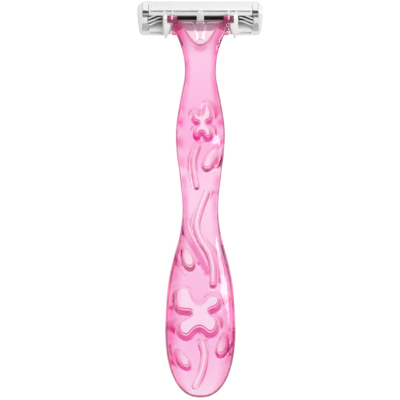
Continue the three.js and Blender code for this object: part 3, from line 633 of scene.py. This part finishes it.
def settle(evaluate, vertices, quads, rounds=2):
    """Evens out the vertices along the surface and puts them exactly on it."""
    for _ in range(rounds):
        total = np.zeros_like(vertices)
        number = np.zeros(len(vertices))
        for k in range(4):
            for neighbour in (quads[:, (k + 1) % 4], quads[:, k - 1]):
                np.add.at(total, quads[:, k], vertices[neighbour])
                np.add.at(number, quads[:, k], 1)
        vertices = vertices * 0.5 + total / number[:, None] * 0.5
        for _ in range(2):
            slope = gradient(evaluate, vertices)
            size = np.maximum((slope ** 2).sum(axis=1), 0.05)
            move = (evaluate(vertices) / size)[:, None] * slope
            length = np.linalg.norm(move, axis=1)[:, None]
            vertices = vertices - move * np.minimum(1, 0.15 / np.maximum(length, 1e-9))
    return vertices


def mesh_object(name, vertices, faces):
    """A smooth-shaded object from points in millimetres in the row frame."""
    mesh = bpy.data.meshes.new(name)
    mesh.from_pydata((np.asarray(vertices) * MM).tolist(), [], [list(map(int, f)) for f in faces])
    mesh.validate()
    mesh.polygons.foreach_set("use_smooth", [True] * len(mesh.polygons))
    obj = bpy.data.objects.new(name, mesh)
    bpy.context.scene.collection.objects.link(obj)
    return obj


def handle_mesh(cell):
    """Vertices and quads of the clear moulding, from a grid of that cell size."""
    low = np.array([-BRACKET_INSIDE - 3.0, -1.0, -1.0])
    high = np.array([BRACKET_INSIDE + 3.0, PIVOT_Y + 2.5, handle_high[2] - GROUND + 1.0])
    axes = [np.arange(a, b, cell) for a, b in zip(low, high)]
    x2, y2 = np.meshgrid(axes[0], axes[1], indexing="ij")
    plan = handle_plan(x2, y2)

    def deepen(item):
        """The plan's arrays with a third axis, so that they spread over every height."""
        if isinstance(item, dict):
            return {key: deepen(value) for key, value in item.items()}
        if isinstance(item, list):
            return [deepen(value) for value in item]
        return item[:, :, None]

    x3, y3, z3 = x2[:, :, None], y2[:, :, None], axes[2][None, None, :]
    values = handle_field(x3, y3, z3, deepen(plan))
    origin = np.array([axis[0] for axis in axes])
    vertices, quads = surface_net(values, origin, cell)

    def evaluate(points):
        x, y, z = points.T
        return handle_field(x, y, z, handle_plan(x, y))

    return settle(evaluate, vertices, quads), quads


def to_row(points):
    """From the handle's own place to the row frame."""
    return np.asarray(points) + np.array([0.0, TAIL_Y, GROUND])


# ---------------------------------------------------------------------------------------------------
# Tints: colours that parts of the clear surface multiply into the light, and the places along the
# handle between which each one sets in or fades. The tints on the relief's walls, along the sweep,
# on the scoop's rim and below the scoop are painted shade, and so is the side edges' colour, which
# comes in painted stripes over the bulge.
# ---------------------------------------------------------------------------------------------------

PAINTED_WALL_SHADE = (0.68, 0.0, 0.18)
ARM_TINT = (0.9, 0.5, 0.68)
WEB_TINT = (0.98, 0.74, 0.85)
FLANGE_TINT = (0.9, 0.3, 0.56)
NECK_TINT = (1.0, 0.78, 0.9)
PAINTED_SCOOP_RIM_SHADE = (0.8, 0.25, 0.45)
PAINTED_SWEEP_SHADE = (0.88, 0.16, 0.46)
SHADE_TINT = (0.85, 0.4, 0.6)
HEAD_START = (PIVOT_Y - 13, PIVOT_Y - 7)
FLANGE_START = (PIVOT_Y - 6.5, PIVOT_Y - 5)
NECK_START = (0.56 * REACH, 0.68 * REACH)
NECK_END = (PIVOT_Y - 12, PIVOT_Y - 8)
SWEEP_END = (0.4 * REACH, 0.48 * REACH)
BULGE_START = (0.55 * REACH, 0.62 * REACH)
BULGE_END = (0.74 * REACH, 0.78 * REACH)
PAINTED_STRIPE_CENTRE = 0.737 * REACH
PAINTED_STRIPE_PITCH = 6.8


def painted_wall_shade_share(points, plan):
    """Where the relief's walls get painted shade: 1 on the walls that face the head, less on its side walls, 0 on
    all else.
    """
    x, y, z = points.T
    step = 0.05
    ahead, behind = (handle_plan(x, y + move)["pits"] for move in (step, -step))
    share = np.zeros(len(points))
    for i, (pit, distance, floor) in enumerate(zip(PITS, plan["pits"], plan["floors"])):
        from_floor = ramp(distance, -pit.draft - pit.bottom_fillet * 0.45, -pit.draft + 0.1)
        from_rim = ramp(-distance, -0.25, 0.05)
        below = ramp(plan["surface"] - z, 0.1, 0.9)
        facing = ramp((behind[i] - ahead[i]) / (2 * step), -1.4, 0.3)
        deep = np.maximum(ramp(plan["surface"] - floor, 0.8, 4.0), 0.35)
        share = np.maximum(share, from_floor * from_rim * below * facing * deep)
    return share


def tints(points):
    """The colour that the surface lends to light that passes it, partly painted shade, and how near it is to a
    side edge, which sets the painted shade at the side edges.
    """
    x, y, z = points.T
    plan = handle_plan(x, y)
    middle = sections(y)[1]
    width = sections(y)[0] * np.maximum(tail_shrink(y), 0.05)
    colour = np.ones((len(points), 3))

    def lay(share, tint):
        colour[:] *= 1 + share[:, None] * (np.array(tint) - 1)

    # Painted shade: deep magenta on the relief's walls that face the head.
    lay(painted_wall_shade_share(points, plan), PAINTED_WALL_SHADE)
    in_scoop = ramp(-plan["scoop"], -0.2, 0.4) * ramp(y, SCOOP_END - 0.5, SCOOP_END + 0.5)
    flange = ramp(np.abs(x) - width, -0.3, 0.2) * ramp(y, *FLANGE_START)
    lay(ramp(y, *HEAD_START) * (1 - in_scoop) * (1 - flange), ARM_TINT)
    lay(in_scoop, WEB_TINT)
    lay(flange, FLANGE_TINT)

    in_pit = ramp(plan["surface"] - z, 0.1, 0.9) * (z > middle - 0.4)
    neck = ramp(y, *NECK_START) * (1 - ramp(y, *NECK_END))
    lay(neck * (1 - in_pit), NECK_TINT)

    # Painted shade: deep magenta along the sweep beside the middle stem, above the middle height.
    sweep = ramp(-plan["pits"][FIRST_GROOVE], 0.0, 0.9) * (1 - ramp(y, *SWEEP_END))
    lay(sweep * (z > middle), PAINTED_SWEEP_SHADE)

    # Painted shade on the step around the scoop's rim, at the web's top.
    painted_scoop_rim_shade = 1 - ramp(np.abs(plan["scoop"]), 0.15, 0.45)
    lay(painted_scoop_rim_shade * ramp(z, WEB_TOP - 0.5, WEB_TOP + 0.3), PAINTED_SCOOP_RIM_SHADE)

    below = SCOOP_END - y
    shade = ramp(2.8 - 0.9 * below - np.abs(x), -0.4, 0.5) * ramp(below, -0.3, 0.4)
    lay(shade * (1 - ramp(below, 1.2, 2.6)) * (z > WEB_TOP), SHADE_TINT)

    # Painted shade at the side edges, in painted light and shade stripes across the bulge.
    bulge = ramp(y, *BULGE_START) * (1 - ramp(y, *BULGE_END))
    painted_stripe_wave = np.cos(2 * np.pi * (y - PAINTED_STRIPE_CENTRE) / PAINTED_STRIPE_PITCH)
    painted_stripes = 0.85 + (0.5 * painted_stripe_wave - 0.35) * bulge
    edge = ramp(np.abs(x) / width, 0.5, 0.86) * (1 - flange) * painted_stripes
    return colour, edge


def split_tongue(vertices, quads):
    """The handle and the tongue as two closed meshes that meet at the tongue's root."""
    bm = bmesh.new()
    made = [bm.verts.new(v) for v in vertices]
    for quad in quads:
        bm.faces.new([made[i] for i in quad])
    half = TONGUE_WAIST_WIDTH / 2 + TONGUE_ROOT_FLARE + SLIT_WIDTH / 2
    near = []
    for face in bm.faces:
        centre = face.calc_center_median()
        in_web = WEB_BOTTOM - 0.6 < centre.z < WEB_TOP + 0.6
        if in_web and abs(centre.x) < half and abs(centre.y - ROOT_CUT) < 1:
            near.append(face)
    edges = {edge for face in near for edge in face.edges}
    corners = {corner for face in near for corner in face.verts}
    geometry = [*near, *edges, *corners]
    bmesh.ops.bisect_plane(bm, geom=geometry, dist=1e-5, plane_co=(0, ROOT_CUT, 0), plane_no=(0, 1, 0))
    centres = np.array([face.calc_center_median() for face in bm.faces])
    on_tongue = polygon_field(TONGUE, centres[:, 0], centres[:, 1]) < SLIT_WIDTH / 2
    on_tongue &= (centres[:, 1] > ROOT_CUT) & (np.abs(centres[:, 2] - WEB_MIDDLE) < WEB_THICKNESS)
    results = []
    for keep in (False, True):
        part = bm.copy()
        part.faces.ensure_lookup_table()
        drop = [face for face, tongue in zip(part.faces, on_tongue) if bool(tongue) != keep]
        bmesh.ops.delete(part, geom=drop, context="FACES")
        rim = [edge for edge in part.edges if len(edge.link_faces) == 1]
        caps = bmesh.ops.holes_fill(part, edges=rim)["faces"]
        bmesh.ops.triangulate(part, faces=caps)
        bmesh.ops.recalc_face_normals(part, faces=part.faces)
        part.verts.index_update()
        points = np.array([v.co for v in part.verts])
        results.append((points, [[v.index for v in face.verts] for face in part.faces]))
        part.free()
    bm.free()
    return results


def clear_piece(name, vertices, faces):
    """A piece of the clear moulding, with its tints kept on its vertices."""
    obj = mesh_object(name, to_row(vertices), faces)
    colour, edge = tints(np.asarray(vertices))
    tint = obj.data.attributes.new("tint", "FLOAT_COLOR", "POINT")
    tint.data.foreach_set("color", np.c_[colour, np.ones(len(colour))].astype(np.float32).ravel())
    # The side value sets where the material paints shade at the side edges.
    side = obj.data.attributes.new("side", "FLOAT", "POINT")
    side.data.foreach_set("value", edge.astype(np.float32))
    return obj


whole_vertices, whole_quads = handle_mesh(0.3)
(handle_points, handle_faces), (tongue_points, tongue_faces) = split_tongue(whole_vertices, whole_quads)
handle = clear_piece("handle_clear", handle_points, handle_faces)
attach(handle, "handle")
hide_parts("handle")
tongue = clear_piece("tongue_clear", tongue_points, tongue_faces)
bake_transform(tongue)
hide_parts("return_tongue")

# ---------------------------------------------------------------------------------------------------
# Cartridge: the moulded and bent pieces with their edges rounded, and the spring arms
# ---------------------------------------------------------------------------------------------------


def on_cartridge(x, along, out):
    """A point of the cartridge's own frame, in millimetres, in the row frame."""
    return PIVOT + np.array([x, 0, 0]) + along * UP + out * OUT


def round_edges(obj, width, segments=2, angle=28):
    """Applies a bevel of that width in millimetres to every sharp edge, and shades the rest smooth."""
    bevel = obj.modifiers.new("edges", "BEVEL")
    bevel.width = width * MM
    bevel.segments = segments
    bevel.limit_method = "ANGLE"
    bevel.angle_limit = math.radians(angle)
    bevel.use_clamp_overlap = True
    graph = bpy.context.evaluated_depsgraph_get()
    mesh = bpy.data.meshes.new_from_object(obj.evaluated_get(graph))
    obj.modifiers.clear()
    obj.data = mesh
    mesh.polygons.foreach_set("use_smooth", [True] * len(mesh.polygons))
    mesh.set_sharp_from_angle(angle=math.radians(40))


def refined(node_name, body, width):
    """A piece made from a CAD node, with rounded edges, that stands for it."""
    bm = bmesh.new()
    bm.from_mesh(frame["nodes"][node_name].data)
    bmesh.ops.remove_doubles(bm, verts=bm.verts, dist=2e-6)
    bmesh.ops.dissolve_limit(bm, angle_limit=math.radians(1), verts=bm.verts, edges=bm.edges)
    bmesh.ops.recalc_face_normals(bm, faces=bm.faces)
    mesh = bpy.data.meshes.new(f"{node_name}_detailed")
    bm.to_mesh(mesh)
    bm.free()
    obj = bpy.data.objects.new(f"{node_name}_detailed", mesh)
    bpy.context.scene.collection.objects.link(obj)
    round_edges(obj, width)
    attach(obj, body)
    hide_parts(node_name)
    return obj


frame_piece = refined("cartridge_frame", "cartridge", 0.1)
cap_piece = refined("cap", "cartridge", 0.1)
clips = [refined(f"clip_{side}", "cartridge", 0.06) for side in ("left", "right")]

# Blades: how far apart they stand, and where the first one's cutting edge lies along the cartridge.
BLADE_NUMBERS = (1, 2, 3)
BLADE_PITCH = 1.5
FIRST_EDGE = -4.0

# Spring arms: x of root and tip, height of the top at each, place of the first one's edge along the
# cartridge, size at the root, and how far the root lies below the tip along the cartridge.
SPRING_ROOT_X = 17.78
SPRING_TIP_X = 13.1
SPRING_TOP = -1.4
SPRING_LOW = -2.48
SPRING_FIRST = -2.97
SPRING_WIDTH = 0.7
SPRING_THICKNESS = 0.4
SPRING_SWEEP = 1.2


def spring_arm(side, number):
    """A curved finger from the cheek to a blade support's back edge, narrower at its tip."""
    steps = 28
    sign = 1 if side == "right" else -1
    place = SPRING_FIRST + SPRING_WIDTH / 2 + (number - 1) * BLADE_PITCH
    rings, faces = [], []
    for i in range(steps + 1):
        share = i / steps
        x = sign * (SPRING_ROOT_X + (SPRING_TIP_X - SPRING_ROOT_X) * share)
        top = SPRING_TOP + (SPRING_LOW - SPRING_TOP) * ramp(share, 0, 1)
        under = top - SPRING_THICKNESS * (1 - 0.15 * share)
        middle = place - SPRING_SWEEP * (1 - share) ** 1.6
        half = SPRING_WIDTH / 2 * (1 - 0.25 * share)
        ring = [(middle - half, top), (middle + half, top), (middle + half, under), (middle - half, under)]
        rings += [on_cartridge(x, along, out) for along, out in ring]
        if i:
            for k in range(4):
                a, b = 4 * i + k, 4 * i + (k + 1) % 4
                faces.append((a, b, b - 4, a - 4))
    last = 4 * steps
    faces += [(3, 2, 1, 0), (last, last + 1, last + 2, last + 3)]
    obj = mesh_object(f"spring_{side}_{number}", rings, faces)
    bm = bmesh.new()
    bm.from_mesh(obj.data)
    bmesh.ops.recalc_face_normals(bm, faces=bm.faces)
    bm.to_mesh(obj.data)
    bm.free()
    round_edges(obj, 0.1, segments=3, angle=40)
    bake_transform(obj)
    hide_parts(f"spring_arm_{side}_{number}")
    return obj


springs = [spring_arm(side, number) for side in ("left", "right") for number in BLADE_NUMBERS]

# ---------------------------------------------------------------------------------------------------
# Materials
# ---------------------------------------------------------------------------------------------------


def material(name):
    """A new material, its node tree and its shader."""
    mat = bpy.data.materials.new(name)
    mat.use_nodes = True
    tree = mat.node_tree
    shader = tree.nodes["Principled BSDF"]
    return mat, tree, shader


def node(tree, kind, **values):
    """A new node with its properties set."""
    made = tree.nodes.new(kind)
    for key, value in values.items():
        setattr(made, key, value)
    return made


def mapped(tree, scale, stretch=(1, 1, 1)):
    """The place on the object, scaled so that a texture has that many features per metre."""
    place = node(tree, "ShaderNodeTexCoord").outputs["Object"]
    mapping = node(tree, "ShaderNodeMapping")
    mapping.inputs["Scale"].default_value = tuple(scale * k for k in stretch)
    tree.links.new(place, mapping.inputs["Vector"])
    return mapping.outputs["Vector"]


def noise(tree, scale, detail=3.0, stretch=(1, 1, 1)):
    """Noise with that many features per metre."""
    made = node(tree, "ShaderNodeTexNoise")
    made.inputs["Scale"].default_value = 1.0
    made.inputs["Detail"].default_value = detail
    tree.links.new(mapped(tree, scale, stretch), made.inputs["Vector"])
    return made.outputs["Fac"]


def ranged(tree, value, low, high, start=0.3, end=0.7):
    """The value's stretch from start to end, spread from low to high."""
    made = node(tree, "ShaderNodeMapRange")
    for name, number in (("From Min", start), ("From Max", end), ("To Min", low), ("To Max", high)):
        made.inputs[name].default_value = number
    tree.links.new(value, made.inputs["Value"])
    return made.outputs["Result"]


def mixed(tree, factor, a, b):
    """A colour between a and b, each a plain colour or a socket."""
    made = node(tree, "ShaderNodeMix", data_type="RGBA")
    tree.links.new(factor, made.inputs["Factor"])
    for name, colour in (("A", a), ("B", b)):
        socket = [s for s in made.inputs if s.name == name and s.type == "RGBA"][0]
        if isinstance(colour, tuple):
            socket.default_value = (*colour, 1)
        else:
            tree.links.new(colour, socket)
    return [s for s in made.outputs if s.type == "RGBA"][0]


def bumped(tree, shader, height, strength, distance):
    """Gives the shader a bump from that height."""
    made = node(tree, "ShaderNodeBump")
    made.inputs["Strength"].default_value = strength
    made.inputs["Distance"].default_value = distance
    tree.links.new(height, made.inputs["Height"])
    tree.links.new(made.outputs["Normal"], shader.inputs["Normal"])


def product(tree, kind, a, b):
    """Two sockets multiplied, by a math node of that kind."""
    made = node(tree, kind, operation="MULTIPLY")
    tree.links.new(a, made.inputs[0])
    tree.links.new(b, made.inputs[1])
    return made.outputs[0]


def clear_pink():
    """Clear pink plastic. Its mesh carries a tint, partly painted shade, and a side value that is 1 at the side
    edges, where cloudy patches of painted shade darken it.
    """
    mat, tree, shader = material("clear_pink")
    shader.inputs["Transmission Weight"].default_value = 1.0
    shader.inputs["IOR"].default_value = 1.5
    shader.inputs["Specular IOR Level"].default_value = 0.15
    tint = node(tree, "ShaderNodeAttribute", attribute_name="tint")
    side = node(tree, "ShaderNodeAttribute", attribute_name="side")
    # Painted shade: cloudy deep magenta patches at the side edges.
    cloud = ranged(tree, noise(tree, 140, detail=1.0, stretch=(1, 0.8, 1)), 0.6, 1.0, start=0.4, end=0.58)
    painted_edge_shade_patch = product(tree, "ShaderNodeMath", cloud, side.outputs["Fac"])
    painted_edge_shade_colour = mixed(tree, painted_edge_shade_patch, (1.0, 1.0, 1.0), (0.94, 0.04, 0.42))
    base = product(tree, "ShaderNodeVectorMath", tint.outputs["Color"], painted_edge_shade_colour)
    tree.links.new(base, shader.inputs["Base Color"])
    tree.links.new(ranged(tree, noise(tree, 900), 0.05, 0.09), shader.inputs["Roughness"])
    bumped(tree, shader, noise(tree, 260, detail=1.0), 0.05, 0.0006)
    volume = node(tree, "ShaderNodeVolumeAbsorption")
    volume.inputs["Color"].default_value = (0.985, 0.1, 0.68, 1)
    volume.inputs["Density"].default_value = 56.0
    tree.links.new(volume.outputs["Volume"], tree.nodes["Material Output"].inputs["Volume"])
    return mat


def white_plastic():
    """The cartridge's moulding, faintly mottled."""
    mat, tree, shader = material("white_plastic")
    mottle = ranged(tree, noise(tree, 500), 0, 1)
    tree.links.new(mixed(tree, mottle, (0.88, 0.88, 0.87), (0.92, 0.92, 0.915)), shader.inputs["Base Color"])
    tree.links.new(ranged(tree, noise(tree, 1400), 0.26, 0.4), shader.inputs["Roughness"])
    bumped(tree, shader, noise(tree, 5000), 0.06, 0.00008)
    return mat


def strip_material(name, low, high, grain, roughness):
    """A soft strip, mottled between two colours, with that much grain."""
    mat, tree, shader = material(name)
    mottle = ranged(tree, noise(tree, 700, detail=5.0), 0, 1)
    tree.links.new(mixed(tree, mottle, low, high), shader.inputs["Base Color"])
    tree.links.new(ranged(tree, noise(tree, grain), *roughness), shader.inputs["Roughness"])
    bumped(tree, shader, noise(tree, grain), 0.15, 0.0001)
    return mat


def steel(name, low, high, roughness, stretch, strength=0.1):
    """Metal with fine grain drawn out along one direction."""
    mat, tree, shader = material(name)
    shader.inputs["Metallic"].default_value = 1.0
    grain = noise(tree, 6000, detail=4.0, stretch=stretch)
    tree.links.new(mixed(tree, ranged(tree, grain, 0, 1), low, high), shader.inputs["Base Color"])
    tree.links.new(ranged(tree, grain, *roughness), shader.inputs["Roughness"])
    bumped(tree, shader, grain, strength, 0.00004)
    return mat, tree, shader


def cartridge_along(tree, scale, offset):
    """How far up the cartridge a point lies from the pivot, in millimetres, scaled and shifted."""
    along = node(tree, "ShaderNodeVectorMath", operation="DOT_PRODUCT")
    tree.links.new(node(tree, "ShaderNodeTexCoord").outputs["Object"], along.inputs[0])
    along.inputs[1].default_value = tuple(UP / MM)
    scaled = node(tree, "ShaderNodeMath", operation="MULTIPLY_ADD")
    tree.links.new(along.outputs["Value"], scaled.inputs[0])
    scaled.inputs[1].default_value = scale
    scaled.inputs[2].default_value = (offset - float(PIVOT @ UP)) * scale
    return scaled.outputs["Value"]


def clip_metal():
    """Polished strap, with two stripes of painted reflection, almost black, where it crosses the cartridge's back.
    """
    grain = (1, 0.03, 0.03)
    mat, tree, shader = steel("clip_metal", (0.74, 0.74, 0.74), (0.86, 0.86, 0.86), (0.14, 0.26), grain)
    body = shader.inputs["Base Color"].links[0].from_socket
    # Painted reflection: two almost black stripes across the strap where it crosses the cartridge's back.
    painted_stripe_wave = node(tree, "ShaderNodeMath", operation="COSINE")
    tree.links.new(cartridge_along(tree, 2 * math.pi / 1.9, -0.45), painted_stripe_wave.inputs[0])
    off_middle = node(tree, "ShaderNodeMath", operation="ABSOLUTE")
    tree.links.new(cartridge_along(tree, 1.0, -1.4), off_middle.inputs[0])
    on_back = ranged(tree, off_middle.outputs["Value"], 1, 0, start=1.45, end=1.55)
    band = ranged(tree, painted_stripe_wave.outputs["Value"], 0, 1, start=-0.3, end=0.2)
    painted_reflection_stripes = product(tree, "ShaderNodeMath", band, on_back)
    tree.links.new(mixed(tree, painted_reflection_stripes, body, (0.12, 0.11, 0.115)), shader.inputs["Base Color"])
    return mat


def blade_steel():
    """Coated steel, its colour darkened partly as painted shade for the shade it lies in inside the cartridge,
    with a bright ground bevel along each cutting edge.
    """
    mat, tree, shader = steel("blade_steel", (0.2, 0.17, 0.17), (0.34, 0.3, 0.29), (0.22, 0.36), (0.02, 1, 1))
    body = shader.inputs["Base Color"].links[0].from_socket
    behind_edge = node(tree, "ShaderNodeMath", operation="FRACT")
    in_pitches = cartridge_along(tree, 1 / BLADE_PITCH, 0.02 * BLADE_PITCH - FIRST_EDGE)
    tree.links.new(in_pitches, behind_edge.inputs[0])
    ground = ranged(tree, behind_edge.outputs["Value"], 1, 0, start=0.16, end=0.2)
    tree.links.new(mixed(tree, ground, body, (0.62, 0.6, 0.58)), shader.inputs["Base Color"])
    return mat


def lubricating_strip():
    return strip_material("lubricating_strip", (0.86, 0.6, 0.74), (0.93, 0.74, 0.84), 2600, (0.35, 0.55))


def soft_rubber():
    return strip_material("soft_rubber", (0.72, 0.25, 0.46), (0.8, 0.33, 0.54), 3600, (0.6, 0.8))


def support_steel():
    return steel("support_steel", (0.2, 0.18, 0.17), (0.32, 0.29, 0.28), (0.36, 0.5), (0.02, 1, 1))[0]


MATERIALS = {
    "clear_pink": clear_pink(),
    "white_plastic": white_plastic(),
    "lubricating_strip": lubricating_strip(),
    "soft_rubber": soft_rubber(),
    "clip_metal": clip_metal(),
    "blade_steel": blade_steel(),
    "support_steel": support_steel(),
}


def dress(obj, slot):
    """Gives the object its material instead of any that it has."""
    obj.data.materials.clear()
    obj.data.materials.append(MATERIALS[slot])


for piece in (handle, tongue):
    dress(piece, "clear_pink")
for piece in (frame_piece, cap_piece, *springs):
    dress(piece, "white_plastic")
for piece in clips:
    dress(piece, "clip_metal")
for part in frame["record"]["subparts"]:
    obj = frame["nodes"][part["node"]]
    for slot in obj.material_slots:
        slot.link = "OBJECT"
        slot.material = MATERIALS[part["material_slot"]]

# ---------------------------------------------------------------------------------------------------
# Stage, lights and camera
# ---------------------------------------------------------------------------------------------------

FLOOR_HALF = 3.0
FLOOR_GAP = 0.0004


def floor_material():
    """White card that glows a little less than full white."""
    mat, tree, shader = material("stage_floor")
    shader.inputs["Base Color"].default_value = (0.12, 0.12, 0.12, 1)
    shader.inputs["Roughness"].default_value = 0.9
    shader.inputs["Emission Color"].default_value = (1, 1, 1, 1)
    shader.inputs["Emission Strength"].default_value = 0.93
    return mat


def stage_floor():
    """A wide white floor just under the object. It lights nothing that is not clear or polished."""
    mesh = bpy.data.meshes.new("stage_floor")
    signs = ((-1, -1), (1, -1), (1, 1), (-1, 1))
    height = cad_box[0][2] - FLOOR_GAP
    mesh.from_pydata([(x * FLOOR_HALF, y * FLOOR_HALF, height) for x, y in signs], [], [(0, 1, 2, 3)])
    mesh.materials.append(floor_material())
    obj = bpy.data.objects.new("stage_floor", mesh)
    bpy.context.scene.collection.objects.link(obj)
    obj.visible_diffuse = False
    return obj


def studio_world():
    """Pale at the horizon and dimmer overhead, as in a white room with its lamps shaded."""
    world = bpy.data.worlds.new("studio")
    world.use_nodes = True
    tree = world.node_tree
    split = node(tree, "ShaderNodeSeparateXYZ")
    tree.links.new(node(tree, "ShaderNodeTexCoord").outputs["Generated"], split.inputs["Vector"])
    level = ranged(tree, split.outputs["Z"], 0.62, 0.52, start=0.05, end=0.6)
    tree.nodes["Background"].inputs["Color"].default_value = (1, 1, 1, 1)
    tree.links.new(level, tree.nodes["Background"].inputs["Strength"])
    return world


def area_light(name, place, target, size, power):
    """A rectangular lamp that lights and shines on surfaces but is not seen through clear ones."""
    data = bpy.data.lights.new(name, "AREA")
    data.shape = "RECTANGLE"
    data.size, data.size_y = size
    data.energy = power
    light = bpy.data.objects.new(name, data)
    light.location = place
    light.visible_transmission = False
    light.rotation_euler = (Vector(target) - Vector(place)).to_track_quat("-Z", "Y").to_euler()
    bpy.context.scene.collection.objects.link(light)


CAMERA_TILT = math.radians(10)
CAMERA_DISTANCE = 3.0
CAMERA_TARGET = Vector((-0.00013, 0.0004, 0.008))
FRAME_WIDTH = 0.136
SENSOR_WIDTH = 36


def main_camera():
    """A long lens almost straight above, tipped a little towards the head."""
    data = bpy.data.cameras.new("camera")
    data.sensor_width = SENSOR_WIDTH
    data.lens = SENSOR_WIDTH * CAMERA_DISTANCE / FRAME_WIDTH
    data.clip_start = 0.01
    camera = bpy.data.objects.new("camera", data)
    sin, cos = math.sin(CAMERA_TILT), math.cos(CAMERA_TILT)
    turn = Matrix(((1, 0, 0), (0, cos, sin), (0, -sin, cos)))
    place = CAMERA_TARGET + Vector((0, sin, cos)) * CAMERA_DISTANCE
    camera.matrix_world = Matrix.Translation(place) @ turn.to_4x4()
    bpy.context.scene.collection.objects.link(camera)
    return camera


stage_floor()
area_light("head", (0.0, 0.6, 0.45), (0, 0.05, 0), (0.9, 0.3), 2.0)
area_light("right", (0.44, -0.08, 0.48), (0, 0, 0), (0.07, 0.7), 1.8)
scene = bpy.context.scene
scene.world = studio_world()
scene.camera = main_camera()
scene.view_settings.view_transform = "Standard"
scene.cycles.max_bounces = 24
scene.cycles.transmission_bounces = 24
